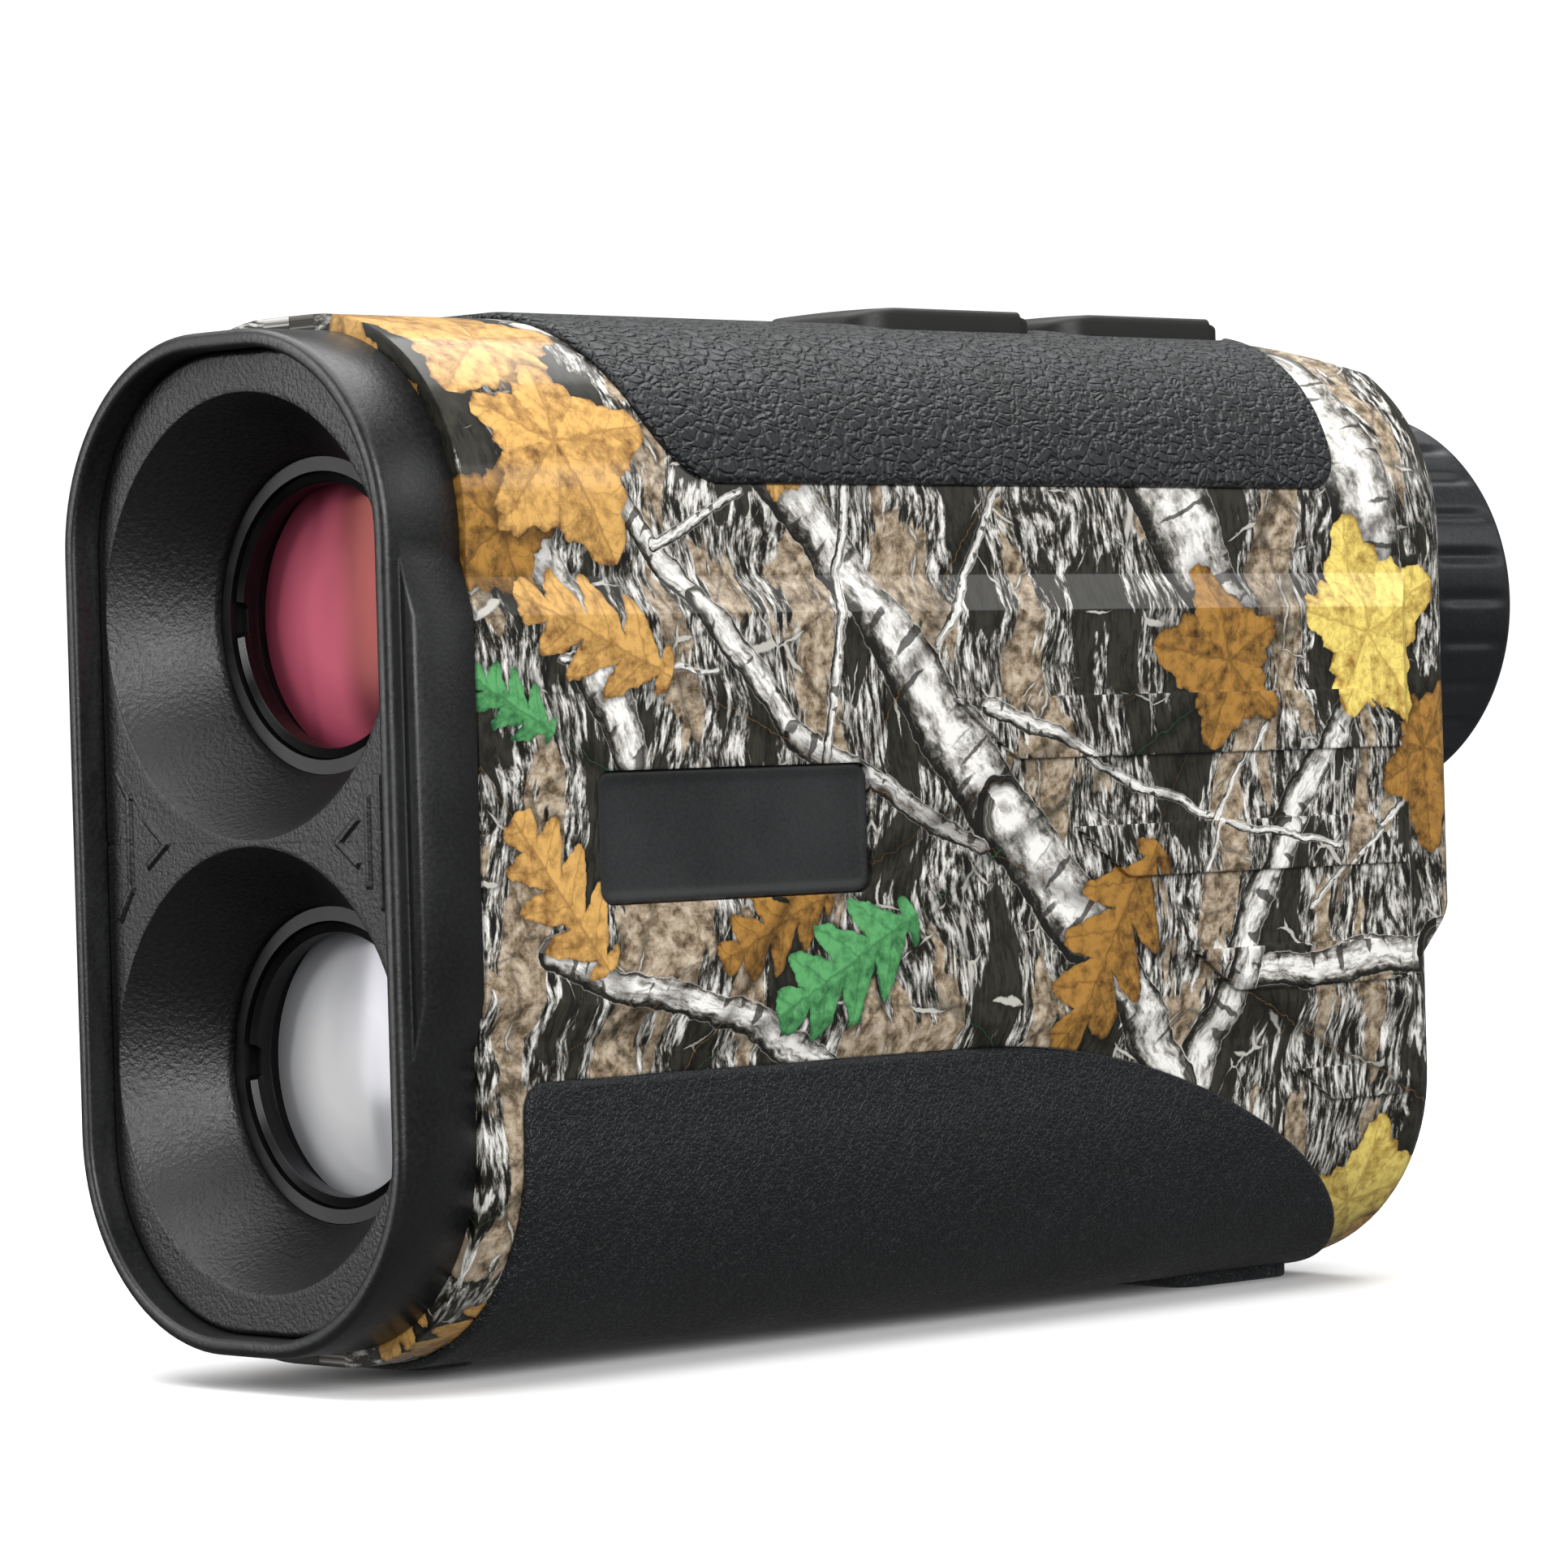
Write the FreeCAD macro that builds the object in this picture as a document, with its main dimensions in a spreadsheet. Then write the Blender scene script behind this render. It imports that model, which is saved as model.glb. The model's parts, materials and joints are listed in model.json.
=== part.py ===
"""Hand-held laser rangefinder: camouflage body, two front lenses, one eyepiece.

The frame: +Z up, the front rim faces -Y, the eyepiece faces +Y, and the origin
is the bottom centre of the whole object.  Lengths are millimetres.
"""
import FreeCAD, Part
import math
import os
import re
import Sketcher

# --------------------------------------------------------------- driving sizes
# name, value, meaning.  "from front" is measured rearwards from the front rim,
# "over middle" and "under middle" from half the height of the shells.
SIZES = [
    ("total_length", 119.6, "front rim to eyecup rim"),
    ("bezel_step_side", 0.4, "bezel's sides inside the shells' sides"),
    ("bezel_step_top", 1.15, "bezel's top and bottom inside the shells' own"),
    ("bezel_depth", 6.8, "front rim to the seam with the shells"),
    ("rim_wall", 1.2, "bezel wall at its front rim"),
    ("ledge_width", 0.9, "bezel ledge that the face plate rests on"),
    ("rim_round", 0.55, "rounding of the front rim's outer edge"),
    ("spigot_length", 3.0, "bezel spigot inside the shells"),
    ("bezel_seal_length", 0.8, "seal behind the bezel spigot"),
    ("shell_width", 35.6, "shells across their plain sides"),
    ("shell_height", 72.3, "shells, bottom to top"),
    ("shell_wall", 1.6, "shell wall"),
    ("top_flat", 5.2, "flat strip along the top and the bottom"),
    ("foot_height", 1.3, "shell bottom above the floor"),
    ("eyepiece_reach", 10.3, "eyecup rim behind the rear wall"),
    ("tail_step", 3.0, "battery end set in from the rear wall"),
    ("step_under_middle", 7.0, "step of the rear wall"),
    ("tail_slope", 10.5, "length of the sloping top at the rear"),
    ("tail_drop", 3.5, "drop of the sloping top"),
    ("tail_round", 3.0, "rounding of the rear edges"),
    ("band_proud", 0.8, "side band over the plain side"),
    ("band_top", 14.95, "side band, upper edge over middle"),
    ("band_front_low", 10.55, "side band, lower edge at the front, under middle"),
    ("band_rear_low", 14.9, "side band, lower edge at the rear, under middle"),
    ("band_bevel", 2.6, "height of the band's sloping edges"),
    ("band_setback", 1.2, "band behind the front rim"),
    ("band_short", 7.3, "band's rear end ahead of the rear wall"),
    ("band_turn", 50.0, "where the lower edge levels out, from front"),
    ("rib_first", 52.0, "left end of the first rib from front"),
    ("rib_short", 8.1, "right end of the ribs ahead of the rear wall"),
    ("rib_top", 8.65, "top of the first rib over middle"),
    ("rib_pitch", 9.6, "rib to rib, downwards"),
    ("rib_stagger", 12.4, "rib to rib, rearwards"),
    ("rib_depth", 4.5, "height of the first rib"),
    ("rib_shrink", 0.65, "each rib is this much lower than the one above"),
    ("rib_proud", 0.4, "ribs over the side band"),
    ("grip_proud", 0.5, "rubber grips over the shells"),
    ("grip_sunk", 0.6, "rubber grips let into the shells"),
    ("top_grip_edge", 23.95, "lower edge of the top grip over middle"),
    ("top_grip_front", 20.9, "top grip at the ridge from front"),
    ("top_grip_lean", 5.4, "top grip's front end runs this far rearwards on its way down"),
    ("top_grip_turn", 7.0, "rounding of the top grip's front corner"),
    ("top_grip_short", 11.3, "top grip's rear end ahead of the rear wall"),
    ("top_grip_rear_lean", 2.4, "top grip's rear end runs this far forwards on its way down"),
    ("top_grip_rear_turn", 3.5, "rounding of the top grip's rear corner"),
    ("low_grip_edge", 16.55, "upper edge of the bottom grip under middle"),
    ("low_grip_front", 10.4, "bottom grip's front end from front"),
    ("low_grip_turn", 2.0, "rounding of the bottom grip's front corner"),
    ("low_grip_short", 6.3, "bottom grip's rear end ahead of the rear wall"),
    ("low_grip_slope", 23.4, "length of the bottom grip's falling edge"),
    ("low_grip_sweep", 70.0, "rounding where the bottom grip's edge turns down"),
    ("heel_length", 13.0, "heel foot along the body"),
    ("heel_width", 11.0, "heel foot across the body"),
    ("heel_inset", 0.8, "heel foot ahead of the bottom grip's rear end"),
    ("toe_length", 6.0, "front foot along the body"),
    ("toe_width", 10.0, "front foot across the body"),
    ("toe_start", 11.6, "front foot's front end from front"),
    ("toe_proud", 0.15, "front foot below the bottom grip"),
    ("foot_sunk", 0.6, "both feet let into the bottom grip"),
    ("foot_corner", 2.0, "corners of both feet"),
    ("badge_length", 26.0, "side badge"),
    ("badge_height", 9.1, "side badge"),
    ("badge_centre", 30.4, "side badge from front"),
    ("badge_thick", 0.7, "side badge"),
    ("badge_sunk", 0.3, "badge face below the side band"),
    ("badge_drop", 0.3, "badge's middle under middle"),
    ("badge_corner", 1.2, "corners of the badge"),
    ("plate_recess", 2.1, "face plate behind the front rim"),
    ("plate_thick", 2.0, "face plate"),
    ("lens_spacing", 31.1, "objective axis to receiver axis"),
    ("mark_proud", 0.4, "raised marks over the face plate"),
    ("mouth_radius", 15.23, "funnels at the face plate"),
    ("funnel_wall", 1.1, "wall of the funnels' necks"),
    ("funnel_clear", 0.29, "funnels inside the bezel's ledge"),
    ("neck_length", 3.0, "funnel neck around each lens cell"),
    ("throat_depth", 8.5, "end of the funnels from front"),
    ("cell_radius", 11.0, "outside of both front lens cells"),
    ("cell_wall", 1.0, "lens cell wall"),
    ("cell_start", 9.0, "front of the lens cells from front"),
    ("cell_end", 42.0, "rear of the lens cells from front"),
    ("lens_clear", 9.2, "clear radius of both front lenses"),
    ("lens_thick", 4.6, "front lenses on their axis"),
    ("lens_bulge", 1.2, "front lens surface height"),
    ("ring_length", 1.5, "retaining rings of the front lenses"),
    ("ring_setback", 0.4, "retaining rings behind the front of their cells"),
    ("lens_ledge", 1.0, "ledge behind each front lens"),
    ("running_gap", 0.1, "radial clearance of turning and sliding fits"),
    ("glue_gap", 0.05, "clearance of pieces that are glued or clamped"),
    ("tube_radius", 13.0, "outside of the eyepiece tube"),
    ("tube_wall", 1.6, "eyepiece tube wall"),
    ("tube_inside", 14.3, "eyepiece tube ahead of the rear wall's outside"),
    ("tube_short", 2.6, "eyepiece tube ends this far before the eyecup rim"),
    ("tube_flange", 1.2, "height of the eyepiece tube's flange"),
    ("tube_flange_length", 2.0, "eyepiece tube's flange along the axis"),
    ("diopter_wall", 1.08, "diopter ring wall"),
    ("eyecup_wall", 1.3, "rubber over the diopter ring"),
    ("eyecup_mouth", 11.9, "opening radius at the eyecup's lip"),
    ("eyecup_lip", 2.2, "length of the eyecup's lip"),
    ("eyecup_chamfer", 0.6, "eyecup's outer rear edge"),
    ("turn_gap", 0.4, "axial clearance of the turning eyecup"),
    ("ocular_wall", 1.6, "ocular cell wall"),
    ("ocular_inside", 12.3, "ocular cell ahead of the rear wall's outside"),
    ("ocular_length", 16.0, "ocular cell"),
    ("ocular_ring_length", 1.2, "retaining ring of the eye lens"),
    ("glass_ledge", 0.8, "height of the ledges that the eyepiece's lenses rest on"),
    ("eye_lens_thick", 4.0, "eye lens on its axis"),
    ("eye_lens_bulge", 1.0, "eye lens surface height"),
    ("field_lens_thick", 3.4, "field lens on its axis"),
    ("field_lens_bulge", 0.8, "field lens surface height"),
    ("field_lens_setback", 1.0, "field lens behind the front of its cell"),
    ("battery_radius", 7.8, "CR2 cell, 15.6 mm across"),
    ("battery_length", 27.0, "CR2 cell"),
    ("battery_over_shell", 16.6, "battery axis above the shell bottom"),
    ("bay_clear", 0.2, "battery bay around the cell"),
    ("bay_wall", 1.0, "battery bay wall"),
    ("bay_front_wall", 1.0, "battery bay's front wall"),
    ("spring_length", 4.0, "battery spring, compressed"),
    ("spring_wire", 0.6, "battery spring wire"),
    ("cap_rim", 0.8, "battery cap head beyond its plug"),
    ("cap_head", 1.9, "battery cap head thickness"),
    ("cap_proud", 0.3, "battery cap over the rear wall"),
    ("cap_plug", 5.2, "length of the battery cap's plug"),
    ("contact_gap", 1.6, "battery's end to the cap's seat"),
    ("tab_inset", 1.8, "lift tab inside the battery cap's edge"),
    ("tab_thick", 1.0, "lift tab"),
    ("tab_pin_radius", 0.4, "hinge pin of the lift tab"),
    ("knuckle_radius", 0.85, "lift tab around its pin"),
    ("tab_pin_length", 11.0, "hinge pin of the lift tab"),
    ("button_length", 19.0, "each button along the body"),
    ("button_width", 12.0, "each button across the body"),
    ("button_short", 0.8, "mode button's rear end ahead of the top grip's"),
    ("button_corner", 3.0, "corners of each button"),
    ("button_apart", 2.3, "between the two buttons"),
    ("button_step", 0.4, "low step at the rear of each button"),
    ("button_step_length", 2.4, "low step at the rear of each button"),
    ("button_proud", 1.75, "button tops over the shells"),
    ("button_gap", 0.3, "gap around each button"),
    ("button_travel", 0.5, "button travel"),
    ("flange_thick", 1.0, "button flange"),
    ("flange_width", 0.8, "button flange beyond the window"),
    ("flange_drop", 1.2, "button flange below the shells' inner roof"),
    ("stem_radius", 1.6, "button stem"),
    ("stem_room", 0.9, "button flange over the switch's plunger"),
    ("board_thick", 1.2, "circuit boards"),
    ("button_board_width", 11.0, "circuit board under the buttons"),
    ("board_margin", 3.5, "that board beyond the switches on it"),
    ("main_board_start", 47.0, "main board from front"),
    ("main_board_length", 25.0, "main board along the body"),
    ("main_board_low", 5.05, "main board's lower edge below the end of the flat side"),
    ("main_board_drop", 3.0, "main board's upper edge under middle"),
    ("chip_height", 1.0, "chips on the main board"),
    ("detector_radius", 4.15, "detector can"),
    ("detector_length", 3.2, "detector can"),
    ("diode_radius", 2.8, "laser diode can"),
    ("diode_length", 4.0, "laser diode can"),
    ("diode_rim_radius", 3.6, "laser diode rim"),
    ("diode_rim_length", 1.2, "laser diode rim"),
    ("switch_side", 6.0, "tactile switch body"),
    ("switch_height", 3.4, "tactile switch body and plunger"),
    ("plunger_radius", 1.75, "tactile switch plunger"),
    ("plunger_height", 0.8, "tactile switch plunger over its body"),
    ("prism_start", 52.0, "prism housing from front"),
    ("prism_side", 18.0, "prism size across the axis"),
    ("prism_length", 22.0, "prisms along the axis"),
    ("housing_wall", 1.6, "prism housing wall"),
    ("front_bulkhead", 24.0, "front bulkhead of the chassis from front"),
    ("middle_bulkhead", 45.0, "middle bulkhead of the chassis from front"),
    ("rear_bulkhead", 26.3, "rear bulkhead of the chassis ahead of the rear wall"),
    ("bulkhead_thick", 1.6, "chassis bulkheads"),
    ("spine_thick", 1.5, "chassis spine"),
    ("spine_height", 40.0, "chassis spine, bottom to top"),
    ("spine_gap", 0.3, "chassis spine inside the left shell's wall"),
    ("arm_height", 8.0, "chassis arm that holds the prism housing"),
    ("wire_hole", 6.0, "radius of the hole for the detector's wires"),
    ("display_side", 12.0, "display glass across"),
    ("display_height", 10.0, "display glass, bottom to top"),
    ("display_depth", 2.4, "display frame along the body"),
    ("screw_front", 36.0, "front upper screw from front"),
    ("screw_rear", 51.0, "rear upper screw from front"),
    ("screw_low_front", 34.0, "front lower screw from front"),
    ("boss_over_cell", 0.7, "upper bosses over the objective cell"),
    ("screw_seat", 0.8, "lower screws: midway from the receiver cell to this far over the shells"),
    ("boss_before_bay", 0.8, "rear lower boss ahead of the battery bay"),
    ("screw_radius", 1.0, "M2 shell screws"),
    ("screw_length", 16.0, "M2 shell screws"),
    ("screw_head", 1.9, "radius of the screw heads"),
    ("head_height", 1.4, "screw head"),
    ("boss_radius", 2.3, "screw bosses"),
    ("well_length", 10.0, "lanyard well along the body"),
    ("well_height", 9.0, "lanyard well"),
    ("well_depth", 5.0, "lanyard well into the body"),
    ("well_wall", 1.0, "lanyard well wall"),
    ("well_inside", 23.3, "front of the lanyard well ahead of the rear wall"),
    ("well_drop", 3.4, "lanyard well's middle under middle"),
    ("bar_inset", 0.6, "lanyard bar inside the plain side"),
    ("bar_radius", 1.0, "lanyard bar"),
    ("seal_wire", 0.5, "section radius of the round seals"),
]

# Places built from the driving sizes, as expressions of the sheet's names.
FRONT = "(-total_length / 2)"
REAR = "(total_length / 2)"
SEAM = f"({FRONT} + bezel_depth)"
TAIL = f"({REAR} - eyepiece_reach)"
BATTERY_TAIL = f"({TAIL} - tail_step)"
MIDDLE = "(foot_height + shell_height / 2)"
OBJECTIVE_AXIS = f"({MIDDLE} + lens_spacing / 2)"
RECEIVER_AXIS = f"({MIDDLE} - lens_spacing / 2)"
BATTERY_AXIS = "(foot_height + battery_over_shell)"
SHELL_TOP = "(foot_height + shell_height)"
SIDE = "(shell_width / 2)"
BEZEL = ("(shell_width - 2 * bezel_step_side)", "(shell_height - 2 * bezel_step_top)")
BAND_FACE = f"({SIDE} + band_proud)"
FAR = "(total_length)"
CAP_FACE = f"({BATTERY_TAIL} + cap_proud)"
CAP_SEAT = f"({CAP_FACE} - cap_head)"
CELL_REAR = f"({CAP_SEAT} - contact_gap)"
CELL_FRONT = f"({CELL_REAR} - battery_length)"
BAY_FLOOR = f"({CELL_FRONT} - spring_length)"
BAY_START = f"({BAY_FLOOR} - bay_front_wall)"
BAY_BORE = "(battery_radius + bay_clear)"
PLUG_RADIUS = f"({BAY_BORE} + bay_wall)"
CAP_RADIUS = f"({PLUG_RADIUS} + cap_rim)"
INNER_ROOF = f"({SHELL_TOP} - shell_wall)"
FLANGE_TOP = f"({INNER_ROOF} - flange_drop)"
FLANGE_BOTTOM = f"({FLANGE_TOP} - flange_thick)"
SWITCH_TOP = f"({FLANGE_BOTTOM} - stem_room)"
BOARD_TOP = f"({SWITCH_TOP} - switch_height)"
SPINE = f"(-{SIDE} + shell_wall + spine_gap)"
SPINE_FACE = f"({SPINE} + spine_thick)"

doc = FreeCAD.newDocument("Rangefinder")
sheet = doc.addObject("Spreadsheet::Sheet", "Size")
finished = {}


def fill_sheet():
    """One row for each driving size: the alias, its value and its meaning."""
    for row, (name, value, meaning) in enumerate(SIZES, start=1):
        sheet.set(f"A{row}", name)
        sheet.set(f"B{row}", str(value))
        sheet.setAlias(f"B{row}", name)
        sheet.set(f"C{row}", meaning)
    doc.recompute()


def bound(expression):
    """The expression with each size written as a reference to the sheet."""
    return re.sub(r"\b([a-z]\w*)\b(?!\()", r"Size.\1", str(expression))


def value(expression):
    """The number that an expression of the sheet's names has now."""
    return float(sheet.evalExpression(bound(expression)))


def bind(item, **places):
    """Ties properties to expressions; x, y and z mean the placement."""
    for name, expression in places.items():
        target = f"Placement.Base.{name}" if name in "xyz" else name
        item.setExpression(target, bound(expression))
    return item


def from_front(expression):
    return f"({FRONT} + {expression})"


def finish(item, node):
    """Names a finished sub-part after its node."""
    item.Label = node
    finished[node] = item
    return item


# ------------------------------------------------------------ building helpers
# For each origin plane: its two sheet directions and the axis it looks along.
PLANES = {"XY_Plane": ("x", "y", "z"), "XZ_Plane": ("x", "z", "y"), "YZ_Plane": ("y", "z", "x")}


def new_sketch(body, plane):
    sketch = body.newObject("Sketcher::SketchObject", body.Name + "_sketch")
    support = [item for item in body.Origin.OriginFeatures if item.Role == plane]
    sketch.AttachmentSupport = (support[0], [""])
    sketch.MapMode = "FlatFace"
    return sketch


def draw_loop(sketch, corners):
    """A closed loop of straight lines whose corners are tied to the sheet."""
    points = [FreeCAD.Vector(value(c[0]), value(c[1]), 0) for c in corners]
    first = sketch.GeometryCount
    count = len(points)
    for index in range(count):
        sketch.addGeometry(Part.LineSegment(points[index], points[(index + 1) % count]), False)
    for index in range(count):
        following = first + (index + 1) % count
        sketch.addConstraint(Sketcher.Constraint("Coincident", first + index, 2, following, 1))
    for index, corner in enumerate(corners):
        for kind, place, number in (("DistanceX", corner[0], points[index].x),
                                    ("DistanceY", corner[1], points[index].y)):
            made = sketch.addConstraint(
                Sketcher.Constraint(kind, -1, 1, first + index, 1, number))
            sketch.setExpression(f"Constraints[{made}]", bound(place))


def round_corners(body, feature, plane, corners):
    """Rounds the edges that stand on the corners given with a radius."""
    along = PLANES[plane][2]
    for corner in corners:
        if len(corner) < 3:
            continue
        names = []
        for number, edge in enumerate(feature.Shape.Edges, start=1):
            direction = edge.tangentAt(edge.FirstParameter)
            middle = edge.CenterOfMass
            here = [getattr(middle, axis) for axis in PLANES[plane][:2]]
            there = [value(corner[0]), value(corner[1])]
            near = math.dist(here, there) < 1e-4
            if near and abs(getattr(direction, along)) > 0.999:
                names.append(f"Edge{number}")
        fillet = body.newObject("PartDesign::Fillet", body.Name + "_round")
        fillet.Base = (feature, names)
        fillet.Radius = value(corner[2])
        bind(fillet, Radius=corner[2])
        doc.recompute()
        feature = fillet
    return feature


def extruded(name, plane, loops, start, length):
    """A body: loops on a plane, padded from start along the plane's axis.

    A corner is (across, up) or (across, up, radius of its rounding).
    """
    body = doc.addObject("PartDesign::Body", name)
    sketch = new_sketch(body, plane)
    for corners in loops:
        draw_loop(sketch, corners)
    pad = body.newObject("PartDesign::Pad", name + "_pad")
    pad.Profile = sketch
    pad.Reversed = plane == "XZ_Plane"
    pad.Length = value(length)
    bind(pad, Length=length)
    doc.recompute()
    for corners in loops:
        pad = round_corners(body, pad, plane, corners)
    bind(body, **{PLANES[plane][2]: start})
    return body


def turned(name, axis_height, profile):
    """A body of revolution about a line along Y; the profile is (y, radius)."""
    body = doc.addObject("PartDesign::Body", name)
    sketch = new_sketch(body, "YZ_Plane")
    draw_loop(sketch, profile)
    turn = body.newObject("PartDesign::Revolution", name + "_turn")
    turn.Profile = sketch
    turn.ReferenceAxis = (sketch, ["H_Axis"])
    turn.Angle = 360
    bind(body, z=axis_height)
    return body


def ring(name, axis_height, start, end, outer, inner):
    return turned(name, axis_height, [(start, inner), (end, inner), (end, outer), (start, outer)])


def disc(name, axis_height, start, end, radius):
    return turned(name, axis_height, [(start, 0), (end, 0), (end, radius), (start, radius)])


def box(name, x_range, y_range, z_range):
    """A box between pairs of expressions."""
    item = doc.addObject("Part::Box", name)
    for side, pair in (("Length", x_range), ("Width", y_range), ("Height", z_range)):
        bind(item, **{side: f"({pair[1]}) - ({pair[0]})"})
    return bind(item, x=x_range[0], y=y_range[0], z=z_range[0])


def rod(name, axis, centre, start, length, radius):
    """A cylinder along x, y or z that starts at a place on that axis."""
    turns = {"x": (FreeCAD.Vector(0, 1, 0), 90), "y": (FreeCAD.Vector(1, 0, 0), -90),
             "z": (FreeCAD.Vector(0, 0, 1), 0)}
    item = doc.addObject("Part::Cylinder", name)
    item.Placement = FreeCAD.Placement(FreeCAD.Vector(), FreeCAD.Rotation(*turns[axis]))
    others = [other for other in "xyz" if other != axis]
    bind(item, Radius=radius, Height=length)
    return bind(item, **{axis: start, others[0]: centre[0], others[1]: centre[1]})


def fuse(name, *items):
    joined = doc.addObject("Part::MultiFuse", name)
    joined.Shapes = list(items)
    joined.Refine = True
    return joined


def common(name, *items):
    kept = doc.addObject("Part::MultiCommon", name)
    kept.Shapes = list(items)
    return kept


def cut(name, base, *tools):
    """The base less every tool."""
    tool = tools[0]
    if len(tools) > 1:
        tool = doc.addObject("Part::MultiFuse", name + "_tools")
        tool.Shapes = list(tools)
    left = doc.addObject("Part::Cut", name)
    left.Base = base
    left.Tool = tool
    left.Refine = True
    return left


def mirrored(name, item):
    """The same form on the other side of the middle plane."""
    twin = doc.addObject("Part::Mirroring", name)
    twin.Source = item
    twin.Normal = FreeCAD.Vector(1, 0, 0)
    return twin


def section(width, height, inset="0"):
    """The body's cross-section, a tall rounded rectangle, inset all round."""
    half = f"({width} / 2 - {inset})"
    tall = f"({height} / 2 - {inset})"
    radius = f"(({width} - top_flat) / 2 - {inset})"
    low = f"({MIDDLE} - {tall})"
    high = f"({MIDDLE} + {tall})"
    return [(f"-{half}", low, radius), (half, low, radius),
            (half, high, radius), (f"-{half}", high, radius)]


def sleeve(name, width, height, inset, start, end):
    """The cross-section drawn out along the body."""
    outline = section(width, height, inset)
    return extruded(name, "XZ_Plane", [outline], start, f"({end}) - ({start})")


# ------------------------------------------------------------------ the shells
def body_form(name, inset, start):
    """The shells' outer form, or what lies inside it at an inset."""
    length = sleeve(name + "_section", "shell_width", "shell_height", inset, start, TAIL)
    floor = f"(foot_height - 1 + {inset})"
    roof = f"({SHELL_TOP} - {inset})"
    rear = f"({TAIL} - {inset})"
    step = f"({BATTERY_TAIL} - {inset})"
    shoulder = f"({MIDDLE} - step_under_middle + {inset})"
    outline = [
        (f"({start} - 1)", floor),
        (step, floor),
        (step, f"({shoulder} - tail_step)"),
        (rear, shoulder),
        (rear, f"({roof} - tail_drop)"),
        (f"({rear} - tail_slope)", f"({roof} + 0.01)"),
        (f"({start} - 1)", f"({roof} + 0.01)"),
    ]
    side = extruded(name + "_side", "YZ_Plane", [outline], f"-{SIDE} - 5", f"2 * ({SIDE} + 5)")
    return common(name, length, side)


def rounded_rear(name, form, radius, places):
    """Rounds the rim of the rear walls that stand at the given places."""
    doc.recompute()
    stations = [value(place) for place in places]
    edges = []
    for number, edge in enumerate(form.Shape.Edges, start=1):
        box_of_edge = edge.BoundBox
        flat = box_of_edge.YLength < 1e-4
        if flat and any(abs(box_of_edge.YMin - place) < 1e-4 for place in stations):
            inner_line = edge.Curve.TypeId == "Part::GeomLine" and box_of_edge.ZLength < 1e-4
            level = value(f"{MIDDLE} - step_under_middle")
            if not (inner_line and abs(box_of_edge.ZMin - level) < value("tail_step") + 1):
                edges.append((number, value(radius), value(radius)))
    rounding = doc.addObject("Part::Fillet", name)
    rounding.Base = form
    rounding.Edges = edges
    return rounding


def side_band():
    """The raised band on the right side, with sloping edges."""
    body = doc.addObject("PartDesign::Body", "band_form")
    front = from_front("band_setback")
    rear = f"({TAIL} - band_short)"
    turn = from_front("band_turn")
    top = f"({MIDDLE} + band_top)"
    low = f"({MIDDLE} - band_front_low)"
    deep = f"({MIDDLE} - band_rear_low)"
    sketches = []
    for depth, grow in ((f"({BAND_FACE})", "0"), (f"({BAND_FACE} - 2 * band_proud)", "band_bevel * 2")):
        sketch = new_sketch(body, "YZ_Plane")
        end = f"({rear} + {grow} / 2)"
        draw_loop(sketch, [
            (front, f"({low} - {grow})"),
            (SEAM, f"({low} - {grow})"),
            (turn, f"({deep} - {grow})"),
            (end, f"({deep} - {grow})"),
            (end, f"({top} + {grow})"),
            (front, f"({top} + {grow})"),
        ])
        sketch.setExpression("AttachmentOffset.Base.z", bound(depth))
        sketches.append(sketch)
    loft = body.newObject("PartDesign::AdditiveLoft", "band_loft")
    loft.Profile = sketches[0]
    loft.Sections = [sketches[1]]
    loft.Ruled = True
    return body


def rib_outlines(first, last):
    """Ribs, each lower, shorter and further back than the one above."""
    outlines = []
    for index in range(first, last):
        left = from_front(f"(rib_first + {index} * rib_stagger)")
        right = f"({TAIL} - rib_short)"
        top = f"({MIDDLE} + rib_top - {index} * rib_pitch)"
        depth = f"(rib_depth - {index} * rib_shrink)"
        bottom = f"({top} - {depth})"
        outlines.append([
            (left, top),
            (f"({left} + 1.4 * {depth})", bottom, "rib_depth / 3"),
            (right, bottom),
            (f"({right} - {depth})", top, "rib_depth / 3"),
        ])
    return outlines


def top_grip_outline():
    edge = f"({MIDDLE} + top_grip_edge)"
    over = f"({SHELL_TOP} + 5)"
    front = from_front("top_grip_front")
    rear = f"({TAIL} - top_grip_short)"
    return [
        (front, over),
        (f"({front} + top_grip_lean)", edge, "top_grip_turn"),
        (f"({rear} - top_grip_rear_lean)", edge, "top_grip_rear_turn"),
        (rear, over),
    ]


def low_grip_outline():
    edge = f"({MIDDLE} - low_grip_edge)"
    under = "(foot_height - 5)"
    front = from_front("low_grip_front")
    rear = f"({TAIL} - low_grip_short)"
    bend = f"({rear} - low_grip_slope)"
    return [
        (front, under),
        (front, edge, "low_grip_turn"),
        (bend, edge, "low_grip_sweep"),
        (rear, "(foot_height - 0.2)"),
        (rear, under),
    ]


def grip(name, outline):
    """Rubber let into the shells and standing a little proud of them."""
    end = BATTERY_TAIL
    proud = sleeve(name + "_skin", "shell_width", "shell_height", "(-grip_proud)", SEAM, end)
    sunk = sleeve(name + "_bed", "shell_width", "shell_height", "grip_sunk", SEAM, end)
    reach = f"({SIDE} + 5)"
    region = extruded(name + "_region", "YZ_Plane", [outline], f"-{reach}", f"2 * {reach}")
    hollow = cut(name + "_layer", proud, sunk)
    return common(name + "_patch", hollow, region)


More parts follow.
